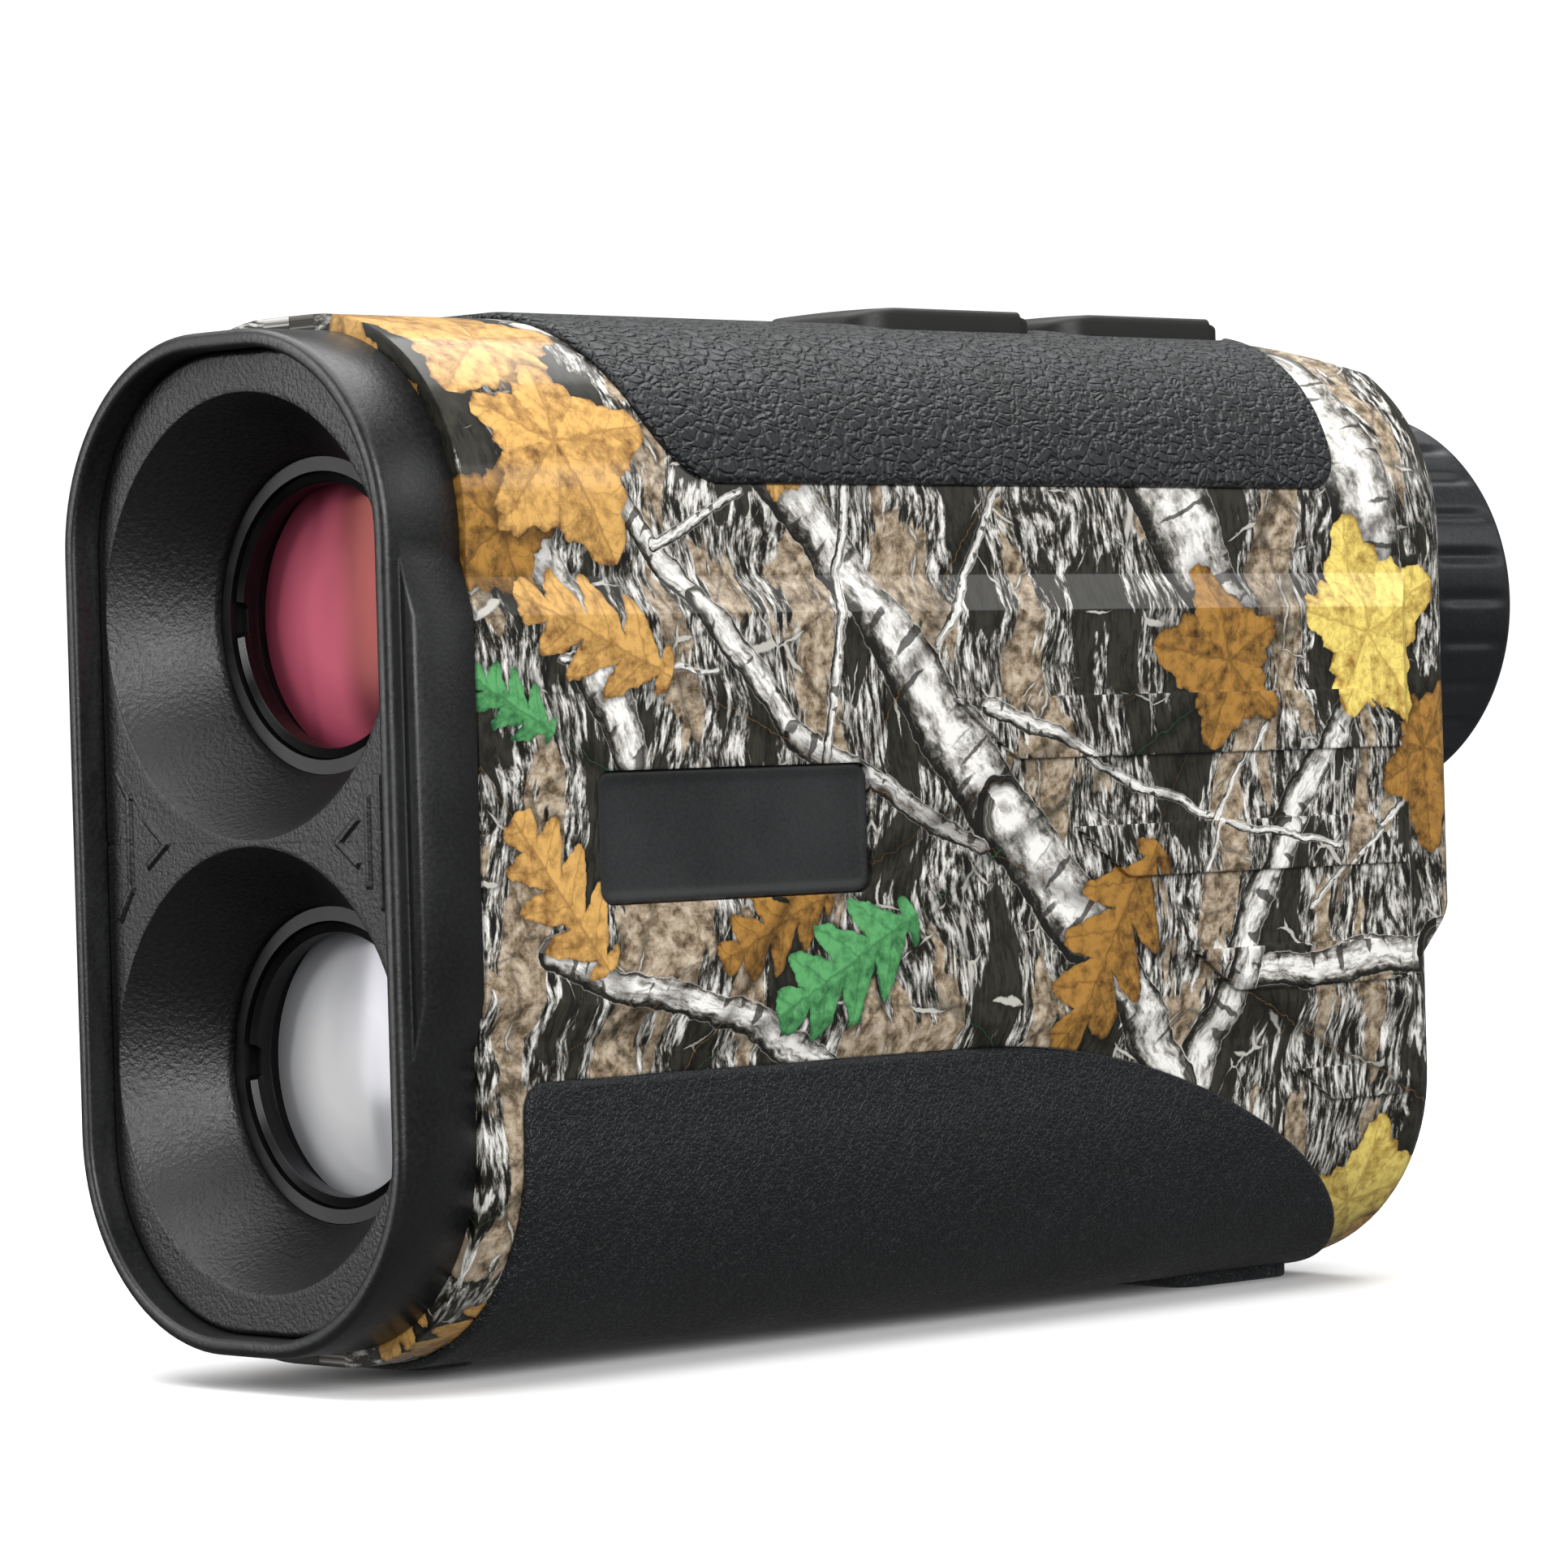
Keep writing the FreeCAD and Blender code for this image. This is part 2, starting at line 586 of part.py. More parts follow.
def foot_block(name, start, length, width, bottom, grow):
    """A flat foot with round corners, let into the underside of the bottom grip."""
    half = f"({width} / 2 + {grow})"
    front = f"({start} - {grow})"
    rear = f"({start} + {length} + {grow})"
    top = f"(foot_height - grip_proud + foot_sunk + {grow})"
    outline = [(f"-{half}", front, "foot_corner"), (half, front, "foot_corner"),
               (half, rear, "foot_corner"), (f"-{half}", rear, "foot_corner")]
    return extruded(name, "XY_Plane", [outline], bottom, f"({top}) - ({bottom})")


def make_feet():
    """Rubber feet under the bottom grip, and the blocks that cut their pockets."""
    pockets = []
    for node, start, length, width, bottom in (
            ("heel_foot", f"({TAIL} - low_grip_short - heel_inset - heel_length)",
             "heel_length", "heel_width", "0"),
            ("front_foot", from_front("toe_start"), "toe_length", "toe_width",
             "(foot_height - grip_proud - toe_proud)")):
        finish(foot_block(node + "_pad", start, length, width, bottom, "0"), node)
        pockets.append(foot_block(node + "_pocket", start, length, width, "-1", "glue_gap"))
    return pockets


def button_start(index):
    """Front end of the power button, 0, or of the mode button, 1."""
    rear = f"({TAIL} - top_grip_short - button_short)"
    return f"({rear} - {2 - index} * button_length - {1 - index} * button_apart)"


def button_block(name, index, grow, bottom, top):
    """A block with rounded ends in the outline of one button."""
    start = f"({button_start(index)} - {grow})"
    end = f"({button_start(index)} + button_length + {grow})"
    half = f"(button_width / 2 + {grow})"
    radius = f"(button_corner + {grow})"
    outline = [(f"-{half}", start, radius), (half, start, radius),
               (half, end, radius), (f"-{half}", end, radius)]
    return extruded(name, "XY_Plane", [outline], bottom, f"({top}) - ({bottom})")


def badge_block(name, grow, inner, outer):
    centre = from_front("badge_centre")
    low = f"({MIDDLE} - badge_drop - badge_height / 2 - {grow})"
    high = f"({MIDDLE} - badge_drop + badge_height / 2 + {grow})"
    front = f"({centre} - badge_length / 2 - {grow})"
    rear = f"({centre} + badge_length / 2 + {grow})"
    outline = [(front, low, "badge_corner"), (rear, low, "badge_corner"),
               (rear, high, "badge_corner"), (front, high, "badge_corner")]
    return extruded(name, "YZ_Plane", [outline], inner, f"({outer}) - ({inner})")


# Screws: place along the body and height, over the objective or under the receiver.
OVER_CELL = f"({OBJECTIVE_AXIS} + cell_radius + boss_radius + boss_over_cell)"
UNDER_CELL = f"(({RECEIVER_AXIS} - cell_radius + foot_height + screw_seat) / 2)"
SCREWS = [(f"({FRONT} + screw_front)", OVER_CELL), (f"({FRONT} + screw_rear)", OVER_CELL),
          (f"({FRONT} + screw_low_front)", UNDER_CELL),
          (f"({BAY_START} - boss_radius - boss_before_bay)", UNDER_CELL)]
SCREW_TIP = "(screw_length / 2 - head_height)"
WELL_MIDDLE = f"({MIDDLE} - well_drop)"
WELL_START = f"({TAIL} - well_inside)"
WELL_END = f"({WELL_START} + well_length)"


def make_shells_and_grips():
    outer = rounded_rear("outer_form", body_form("outer_raw", "0", SEAM), "tail_round",
                         [TAIL, BATTERY_TAIL])
    inner = body_form("inner_form", "shell_wall", f"({SEAM} - 1)")
    band = side_band()
    ribs = extruded("rib_form", "YZ_Plane", rib_outlines(0, 3), f"({SIDE} - 3)",
                    "band_proud + rib_proud + 3")
    last_rib = extruded("last_rib_form", "YZ_Plane", rib_outlines(3, 4), f"({SIDE} - 3)",
                        "rib_proud + 3")
    ahead = box("ahead_of_seam", (f"-{FAR}", FAR), (f"-{FAR}", SEAM), ("-5", FAR))
    trim = cut("side_trim", fuse("side_relief", band, ribs, last_rib), ahead)
    skin = fuse("full_skin", outer, trim, mirrored("left_trim", trim))
    top_patch = grip("top_grip", top_grip_outline())
    low_patch = grip("low_grip", low_grip_outline())
    windows = [button_block(f"window_{i}", i, "button_gap", f"({SHELL_TOP} - 5)",
                            f"({SHELL_TOP} + 5)") for i in range(2)]
    finish(cut("top_grip_solid", top_patch, *windows), "top_grip")
    finish(cut("low_grip_solid", low_patch, *make_feet()), "bottom_grip")
    bosses = []
    holes = []
    for index, centre in enumerate(SCREWS):
        bosses.append(rod(f"boss_{index}", "x", centre, f"-({SIDE} - 2)", f"2 * ({SIDE} - 2)",
                          "boss_radius"))
        holes.append(rod(f"screw_hole_{index}", "x", centre, f"-{SIDE} - 1",
                         f"{SIDE} + 1 + {SCREW_TIP}", "screw_radius"))
        holes.append(rod(f"head_hole_{index}", "x", centre, f"-{SIDE} - 1",
                         f"{SIDE} + 1 - {SCREW_TIP}", "screw_head + running_gap"))
    bosses_inside = common("bosses", fuse("boss_rods", *bosses), outer)
    walls = fuse("walls", cut("hollow_skin", skin, inner), bosses_inside)
    sides = [badge_block("badge_pocket", "glue_gap", f"({BAND_FACE} - badge_sunk - badge_thick)",
                         f"({BAND_FACE} + 2)")]
    sides.append(mirrored("left_badge_pocket", sides[0]))
    tube_hole = rod("tube_hole", "y", ("0", OBJECTIVE_AXIS), f"({TAIL} - 6)", "12",
                    "tube_radius + glue_gap")
    cap_hole = rod("cap_hole", "y", ("0", BATTERY_AXIS), f"({BATTERY_TAIL} - 6)", "12",
                   f"{CAP_RADIUS} + 2 * running_gap")
    well_hole = box("well_hole", (f"-{FAR}", f"-({SIDE} - well_depth)"),
                    (WELL_START, WELL_END),
                    (f"({WELL_MIDDLE} - well_height / 2)", f"({WELL_MIDDLE} + well_height / 2)"))
    full = cut("shells", walls, top_patch, low_patch, *windows, *sides, *holes,
               tube_hole, cap_hole, well_hole)
    for node, low, high in (("left_shell", "0", FAR), ("right_shell", f"-{FAR}", "0")):
        half = box(node + "_other_half", (low, high), (f"-{FAR}", FAR), ("-5", FAR))
        finish(cut(node + "_solid", full, half), node)
    return band, skin


def make_badges():
    face = f"({BAND_FACE} - badge_sunk)"
    plate = badge_block("badge_plate", "0", f"({face} - badge_thick)", face)
    finish(plate, "right_badge")
    finish(mirrored("left_badge_plate", plate), "left_badge")


def make_lanyard_well(skin):
    """A cup let into the left side, with a bar that a lanyard loops round."""
    low = f"({WELL_MIDDLE} - well_height / 2)"
    high = f"({WELL_MIDDLE} + well_height / 2)"
    floor = f"-({SIDE} - well_depth)"
    block = box("well_block", (f"-{FAR}", floor), (WELL_START, WELL_END), (low, high))
    shaped = common("well_shaped", block, skin)
    room = box("well_room", (f"-{FAR}", f"({floor} - well_wall)"),
               (f"({WELL_START} + well_wall)", f"({WELL_END} - well_wall)"),
               (f"({low} + well_wall)", f"({high} - well_wall)"))
    place = (f"(-{SIDE} + bar_radius + bar_inset)", f"({WELL_START} + well_length / 2)")
    bar = rod("bar_rod", "z", place, low, "well_height", "bar_radius")
    finish(cut("well_cup", shaped, room, bar), "lanyard_well")
    finish(bar, "lanyard_bar")


def make_screws():
    screws = []
    for index, centre in enumerate(SCREWS):
        shank = rod(f"shank_{index}", "x", centre, f"-{SCREW_TIP}", f"2 * {SCREW_TIP}",
                    "screw_radius")
        head = rod(f"head_{index}", "x", centre, f"-({SCREW_TIP} + head_height)", "head_height",
                   "screw_head")
        socket = rod(f"socket_{index}", "x", centre, f"-({SCREW_TIP} + head_height + 1)",
                     "1 + head_height / 2", "screw_radius * 0.7")
        screws.append(cut(f"screw_{index}", fuse(f"screw_blank_{index}", shank, head), socket))
    group = doc.addObject("Part::Compound", "screw_group")
    group.Links = screws
    finish(group, "shell_screws")


# ------------------------------------------------------------------- the front
def make_bezel(band):
    """The nose: a sleeve with a ledge for the face plate and a rear spigot."""
    plate_back = from_front("(plate_recess + plate_thick)")
    end = f"({SEAM} + spigot_length)"
    shell = ("shell_width", "shell_height")
    rim = sleeve("bezel_rim", *BEZEL, "0", FRONT, SEAM)
    rounding = value("rim_round")
    rim_edges = [(number, rounding, rounding) for number in outline_edges(rim, FRONT)]
    rounded = doc.addObject("Part::Fillet", "bezel_rounded")
    rounded.Base = rim
    rounded.Edges = rim_edges
    spigot = sleeve("bezel_spigot", *shell, "(shell_wall + running_gap)",
                    f"({SEAM} - 1)", end)
    seat = sleeve("bezel_seat", *BEZEL, "rim_wall", f"({FRONT} - 1)", plate_back)
    throat = sleeve("bezel_throat", *BEZEL, "(rim_wall + ledge_width)", f"({FRONT} - 1)",
                    f"({end} + 1)")
    ahead = box("behind_seam", (f"-{FAR}", FAR), (SEAM, FAR), ("-5", FAR))
    nose_band = cut("nose_band", band, ahead)
    solid = fuse("bezel_blank", rounded, spigot, nose_band, mirrored("left_nose_band", nose_band))
    finish(cut("bezel_solid", solid, seat, throat), "front_bezel")
    seal = sleeve("seal_outer", *shell, "(shell_wall + running_gap)", end,
                  f"({end} + bezel_seal_length)")
    finish(cut("seal_ring", seal, throat), "bezel_seal")


def outline_edges(form, station):
    """Numbers of the edges that lie in the plane at a station along the body."""
    doc.recompute()
    place = value(station)
    numbers = []
    for number, edge in enumerate(form.Shape.Edges, start=1):
        bounds = edge.BoundBox
        if bounds.YLength < 1e-4 and abs(bounds.YMin - place) < 1e-4:
            numbers.append(number)
    return numbers


def ornament(name, corners):
    """A raised mark on the left of the face plate, let half way into it."""
    return extruded(name, "XZ_Plane", [corners], from_front("(plate_recess - mark_proud)"),
                    "mark_proud + plate_thick / 2")


def make_face_plate():
    """The plate behind the rim, with the two funnels that shade the lenses."""
    front = from_front("plate_recess")
    back = from_front("(plate_recess + plate_thick)")
    throat = from_front("throat_depth")
    neck_end = f"({throat} + neck_length)"
    neck = "(cell_radius + glue_gap)"
    plate = sleeve("plate_blank", *BEZEL, "(rim_wall + glue_gap)", front, back)
    bars = [
        ornament("mark_bar", [("-14.3", f"({MIDDLE} - 5)"), ("-13.1", f"({MIDDLE} - 3)"),
                              ("-13.1", f"({MIDDLE} + 3)"), ("-14.3", f"({MIDDLE} + 5)")]),
        ornament("mark_arrow", [("-11.2", f"({MIDDLE} - 1.5)"), ("-9.1", MIDDLE),
                                ("-11.2", f"({MIDDLE} + 1.5)")]),
    ]
    blanks = [plate] + bars + [mirrored(bar.Name + "_right", bar) for bar in bars]
    bores = []
    for name, axis in (("objective", OBJECTIVE_AXIS), ("receiver", RECEIVER_AXIS)):
        at_back = f"({BEZEL[0]} / 2 - rim_wall - ledge_width - funnel_clear)"
        blanks.append(turned(name + "_funnel", axis, [
            (f"({back} - 0.5)", "0"), (neck_end, "0"), (neck_end, f"({neck} + funnel_wall)"),
            (throat, f"({neck} + funnel_wall)"), (back, at_back), (f"({back} - 0.5)", at_back)]))
        bores.append(turned(name + "_bore", axis, [
            (f"({front} - 1)", "0"), (f"({neck_end} + 1)", "0"), (f"({neck_end} + 1)", neck),
            (throat, neck), (front, "mouth_radius"), (f"({front} - 1)", "mouth_radius")]))
    finish(cut("plate_solid", fuse("plate_whole", *blanks), *bores), "face_plate")


def lens(name, axis_height, start, thickness, radius, bulge):
    """A glass with two round faces: a cylinder kept inside two spheres."""
    ball = f"(({radius} ^ 2 + {bulge} ^ 2) / (2 * {bulge}))"
    blank = rod(name + "_blank", "y", ("0", axis_height), start, thickness, radius)
    faces = []
    for side, centre in (("front", f"({start} + {ball})"),
                         ("rear", f"({start} + {thickness} - {ball})")):
        sphere = doc.addObject("Part::Sphere", f"{name}_{side}")
        faces.append(bind(sphere, Radius=ball, y=centre, z=axis_height))
    return common(name + "_glass", blank, *faces)


def make_front_optics(name, axis):
    """One front lens with its cell and its threaded retaining ring."""
    start = from_front("cell_start")
    end = from_front("cell_end")
    bore = "(cell_radius - cell_wall)"
    ring_start = f"({start} + ring_setback)"
    glass_start = f"({ring_start} + ring_length)"
    glass_end = f"({glass_start} + lens_thick)"
    ledge_end = f"({glass_end} + lens_ledge)"
    finish(turned(name + "_tube", axis, [
        (start, bore), (glass_end, bore), (glass_end, "lens_clear"),
        (ledge_end, "lens_clear"), (ledge_end, bore), (end, bore),
        (end, "cell_radius"), (start, "cell_radius")]), name + "_cell")
    finish(ring(name + "_ring", axis, ring_start, glass_start, bore, "lens_clear"),
           name + "_retaining_ring")
    finish(lens(name, axis, glass_start, "lens_thick", f"({bore} - glue_gap)", "lens_bulge"),
           name + "_lens")


# --------------------------------------------------------------- the eyepiece
def make_eyepiece():
    axis = OBJECTIVE_AXIS
    start = f"({TAIL} - tube_inside)"
    end = f"({REAR} - tube_short)"
    bore = "(tube_radius - tube_wall)"
    flange_end = f"({TAIL} - shell_wall - 2 * seal_wire)"
    flange_start = f"({flange_end} - tube_flange_length)"
    finish(turned("eyepiece_body", axis, [
        (start, bore), (end, bore), (end, "tube_radius"), (flange_end, "tube_radius"),
        (flange_end, "(tube_radius + tube_flange)"), (flange_start, "(tube_radius + tube_flange)"),
        (flange_start, "tube_radius"), (start, "tube_radius")]), "eyepiece_tube")
    ring_start = f"({TAIL} + turn_gap)"
    ring_end = f"({REAR} - eyecup_lip - turn_gap)"
    ring_outer = "(tube_radius + running_gap + diopter_wall)"
    cup_outer = f"({ring_outer} + eyecup_wall)"
    finish(ring("diopter_sleeve", axis, ring_start, ring_end, ring_outer,
                "(tube_radius + running_gap)"), "diopter_ring")
    lip = f"({REAR} - eyecup_lip)"
    cup = turned("eyecup_cup", axis, [
        (ring_start, ring_outer), (ring_end, ring_outer), (ring_end, "(tube_radius + running_gap)"),
        (lip, "(tube_radius + running_gap)"), (lip, "eyecup_mouth"), (REAR, "eyecup_mouth"),
        (REAR, f"({cup_outer} - eyecup_chamfer)"), (f"({REAR} - eyecup_chamfer)", cup_outer),
        (ring_start, cup_outer)])
    finish(cup, "eyecup")
    cell_outer = f"({bore} - running_gap)"
    cell_bore = f"({cell_outer} - ocular_wall)"
    cell_start = f"({TAIL} - ocular_inside)"
    cell_end = f"({cell_start} + ocular_length)"
    ring_front = f"({cell_end} - ocular_ring_length)"
    glass_start = f"({ring_front} - eye_lens_thick)"
    field_start = f"({cell_start} + field_lens_setback)"
    field_end = f"({field_start} + field_lens_thick)"
    clear = f"({cell_bore} - glass_ledge)"
    finish(turned("ocular_tube", axis, [
        (cell_start, cell_bore), (field_end, cell_bore), (field_end, clear),
        (glass_start, clear), (glass_start, cell_bore), (cell_end, cell_bore),
        (cell_end, cell_outer), (cell_start, cell_outer)]), "ocular_cell")
    finish(ring("ocular_ring", axis, ring_front, cell_end, cell_bore, clear),
           "ocular_retaining_ring")
    glass = f"({cell_bore} - glue_gap)"
    finish(lens("eye", axis, glass_start, "eye_lens_thick", glass, "eye_lens_bulge"), "eye_lens")
    finish(lens("field", axis, field_start, "field_lens_thick", glass, "field_lens_bulge"),
           "field_lens")
    torus = doc.addObject("Part::Torus", "eyepiece_o_ring")
    torus.Placement = FreeCAD.Placement(FreeCAD.Vector(),
                                        FreeCAD.Rotation(FreeCAD.Vector(1, 0, 0), -90))
    bind(torus, Radius1="tube_radius + seal_wire + 0.02", Radius2="seal_wire", z=axis,
         y=f"({flange_end} + seal_wire)")
    finish(torus, "eyepiece_seal")


# -------------------------------------------------------- light path and boards
# Front faces of the chassis bulkheads: round the lens cells, ahead of the
# prisms, and round the battery bay.
BULKHEADS = (f"({FRONT} + front_bulkhead)", f"({FRONT} + middle_bulkhead)",
             f"({TAIL} - rear_bulkhead)")


def make_chassis():
    """The moulded inner frame: three bulkheads on a spine along the left."""
    walls = []
    for index, start in enumerate(BULKHEADS):
        walls.append(sleeve(f"bulkhead_{index}", "shell_width", "shell_height",
                            "(shell_wall + running_gap)", start, f"({start} + bulkhead_thick)"))
    front, middle, rear = BULKHEADS
    spine = box("spine", (SPINE, SPINE_FACE), (front, rear),
                (f"({MIDDLE} - spine_height / 2)", f"({MIDDLE} + spine_height / 2)"))
    housing = "-(prism_side / 2 + housing_wall)"
    arm_start = from_front("(prism_start + prism_length / 4)")
    arm = box("housing_arm", (SPINE, housing), (arm_start, f"({arm_start} + prism_length / 2)"),
              (f"({OBJECTIVE_AXIS} - arm_height / 2)", f"({OBJECTIVE_AXIS} + arm_height / 2)"))
    cell = "(cell_radius + glue_gap)"
    reach = f"({front} - 5)"
    light = f"({front} + 10)"
    tools = [rod("chassis_objective", "y", ("0", OBJECTIVE_AXIS), reach, "10", cell),
             rod("chassis_receiver", "y", ("0", RECEIVER_AXIS), reach, "10", cell),
             rod("chassis_light", "y", ("0", OBJECTIVE_AXIS), light, FAR, "(prism_side / 2 - 1)"),
             rod("chassis_wires", "y", ("0", RECEIVER_AXIS), light, "20", "wire_hole"),
             rod("chassis_bay", "y", ("0", BATTERY_AXIS), f"({middle} + 10)", FAR,
                 f"({BAY_BORE} + bay_wall + glue_gap)"),
             box("board_slot", ("-button_board_width / 2", "button_board_width / 2"), (front, FAR),
                 (f"({BOARD_TOP} - board_thick)", FAR)),
             box("button_slot", ("-button_width", "button_width"), (front, FAR),
                 (f"({SHELL_TOP} - 6)", FAR))]
    finish(cut("chassis_solid", fuse("chassis_blank", *walls, spine, arm), *tools), "chassis")


def make_optical_bench():
    axis = OBJECTIVE_AXIS
    start = from_front("prism_start")
    end = f"({start} + prism_length)"
    half = "(prism_side / 2)"
    out = "(prism_side / 2 + housing_wall)"
    block = box("housing_block", (f"-{out}", out), (f"({start} - housing_wall)",
                f"({end} + housing_wall)"), (f"({axis} - {out})", f"({axis} + {out})"))
    room = box("housing_room", (f"-{half} - 0.1", f"{half} + 0.1"), (f"({start} - 0.1)",
               f"({end} + 0.1)"), (f"({axis} - {half} - 0.1)", f"({axis} + {half} + 0.1)"))
    light = rod("housing_light", "y", ("0", axis), f"({start} - 5)", "prism_length + 10",
                "prism_side / 2 - 1.5")
    finish(cut("housing_solid", block, room, light), "prism_housing")
    low = f"({axis} - {half})"
    high = f"({axis} + {half})"
    split = f"({start} + 0.42 * prism_length)"
    finish(extruded("half_prism_form", "YZ_Plane", [[(start, low), (f"({split} - 4)", low),
           (f"({split} + 3)", high), (start, high)]], f"-{half}", "prism_side"), "half_prism")
    finish(extruded("roof_prism_form", "YZ_Plane", [[(f"({split} - 3.6)", low), (end, low),
           (end, high), (f"({split} + 3.4)", high)]], f"-{half}", "prism_side"), "roof_prism")
    bulkhead = BULKHEADS[2]
    plate = disc("display_disc", axis, f"({bulkhead} - display_depth)", bulkhead,
                 "(prism_side / 2 + 2)")
    glass = box("display_pane", ("-display_side / 2", "display_side / 2"),
                (f"({bulkhead} - 2)", f"({bulkhead} - 1)"),
                (f"({axis} - display_height / 2)", f"({axis} + display_height / 2)"))
    sight = box("display_sight", ("-display_side / 2 + 0.8", "display_side / 2 - 0.8"),
                (f"({bulkhead} - display_depth - 1)", f"({bulkhead} + 1)"),
                (f"({axis} - display_height / 2 + 0.8)", f"({axis} + display_height / 2 - 0.8)"))
    finish(cut("display_frame_solid", plate, sight, glass), "display_frame")
    finish(glass, "display_glass")
    diode_centre = ("0", f"({start} + 5)")
    diode_top = f"({axis} - {out})"
    rim_top = f"({diode_top} - diode_length)"
    body = rod("diode_can", "z", diode_centre, rim_top, "diode_length", "diode_radius")
    rim = rod("diode_rim", "z", diode_centre, f"({rim_top} - diode_rim_length)",
              "diode_rim_length", "diode_rim_radius")
    finish(fuse("diode_solid", body, rim), "laser_diode")


def make_boards():
    cell_end = from_front("cell_end")
    finish(disc("detector_disc", RECEIVER_AXIS, cell_end, f"({cell_end} + board_thick)",
                "cell_radius"), "receiver_board")
    finish(disc("detector_can_form", RECEIVER_AXIS, f"({cell_end} - detector_length)", cell_end,
                "detector_radius"), "detector")
    side = SPINE_FACE
    front = from_front("main_board_start")
    top = f"({MIDDLE} - main_board_drop)"
    flat_end = f"({MIDDLE} - shell_height / 2 + (shell_width - top_flat) / 2)"
    low = f"({flat_end} - main_board_low)"
    board = box("board_blank", (side, f"({side} + board_thick)"),
                (front, f"({front} + main_board_length)"), (low, top))
    finish(board, "main_board")
    # Each chip: along from the board's front, its lower edge, length and height.
    places = ((4, f"({low} + 4)", 9, 9), (16, f"({low} + 5)", 6, 6),
              (5, f"({top} - 6)", 6, 4), (16, f"({top} - 8)", 7, 5))
    face = f"({side} + board_thick)"
    chips = []
    for index, (along, base, long, tall) in enumerate(places):
        first = f"({front} + {along})"
        chips.append(box(f"chip_{index}", (face, f"({face} + chip_height)"),
                         (first, f"({first} + {long})"), (base, f"({base} + {tall})")))
    group = doc.addObject("Part::Compound", "chip_group")
    group.Links = chips
    finish(group, "board_chips")


# ----------------------------------------------------------------- the buttons
def make_button(node, index):
    """A cap with a low rear step, a flange that keeps it in, and a stem."""
    top = f"({SHELL_TOP} + button_proud)"
    cap = button_block(node + "_cap", index, "0", FLANGE_TOP, top)
    rear = f"({button_start(index)} + button_length)"
    step = box(node + "_step", ("-button_width", "button_width"),
               (f"({rear} - button_step_length)", f"({rear} + 5)"),
               (f"({top} - button_step)", f"({top} + 5)"))
    flange = button_block(node + "_flange", index, "flange_width", FLANGE_BOTTOM, FLANGE_TOP)
    centre = ("0", f"({button_start(index)} + button_length / 2)")
    stem = rod(node + "_stem", "z", centre, f"({SWITCH_TOP} + button_travel + running_gap)",
               "stem_room - button_travel - running_gap + flange_thick / 5", "stem_radius")
    finish(fuse(node + "_solid", cut(node + "_crown", cap, step), flange, stem), node + "_button")
    half = "(switch_side / 2)"
    middle = centre[1]
    body = box(node + "_switch_body", (f"-{half}", half), (f"({middle} - {half})",
               f"({middle} + {half})"), (BOARD_TOP, f"({SWITCH_TOP} - plunger_height)"))
    plunger = rod(node + "_plunger", "z", centre, f"({SWITCH_TOP} - plunger_height - 0.2)",
                  "plunger_height + 0.2", "plunger_radius")
    finish(fuse(node + "_switch_solid", body, plunger), node + "_switch")


def make_button_board():
    reach = "(switch_side / 2 + board_margin)"
    start = f"({button_start(0)} + button_length / 2 - {reach})"
    end = f"({button_start(1)} + button_length / 2 + {reach})"
    finish(box("button_board_blank", ("-button_board_width / 2", "button_board_width / 2"),
               (start, end),
               (f"({BOARD_TOP} - board_thick)", BOARD_TOP)), "switch_board")


# ----------------------------------------------------------------- the battery
def make_battery_bay():
    axis = BATTERY_AXIS
    socket = f"({PLUG_RADIUS} + running_gap)"
    mouth = f"({CAP_SEAT} - 0.05)"
    socket_start = f"({CAP_SEAT} - cap_plug - 0.3)"
    mouth_outer = f"({socket} + bay_wall)"
    finish(turned("bay_body", axis, [
        (BAY_START, "0"), (BAY_FLOOR, "0"), (BAY_FLOOR, BAY_BORE), (socket_start, BAY_BORE),
        (socket_start, socket), (mouth, socket), (mouth, mouth_outer),
        (f"({socket_start} - 1)", mouth_outer), (f"({socket_start} - 1)", PLUG_RADIUS),
        (BAY_START, PLUG_RADIUS)]), "battery_bay")
    finish(turned("battery_cell", axis, [
        (f"({CELL_FRONT} + 0.6)", "0"), (CELL_REAR, "0"), (CELL_REAR, "3"),
        (f"({CELL_REAR} - 0.8)", "3"), (f"({CELL_REAR} - 0.8)", "battery_radius"),
        (f"({CELL_FRONT} + 0.6)", "battery_radius")]), "battery")
    helix = doc.addObject("Part::Helix", "spring_path")
    helix.Placement = FreeCAD.Placement(FreeCAD.Vector(),
                                        FreeCAD.Rotation(FreeCAD.Vector(1, 0, 0), -90))
    bind(helix, Pitch="(spring_length + 0.6 - spring_wire) / 3", Height="spring_length + 0.6 - spring_wire",
         Radius="battery_radius * 0.6", y=f"({BAY_FLOOR} + spring_wire / 2)", z=axis)
    wire = doc.addObject("Part::Circle", "spring_section")
    wire.Placement = FreeCAD.Placement(FreeCAD.Vector(),
                                       FreeCAD.Rotation(FreeCAD.Vector(1, 0, 0), 0))
    bind(wire, Radius="spring_wire / 2", x="battery_radius * 0.6",
         y=f"({BAY_FLOOR} + spring_wire / 2)", z=axis)
    coil = doc.addObject("Part::Sweep", "spring_coil")
    coil.Sections = [wire]
    coil.Spine = (helix, [])
    coil.Solid = True
    coil.Frenet = True
    finish(coil, "battery_spring")


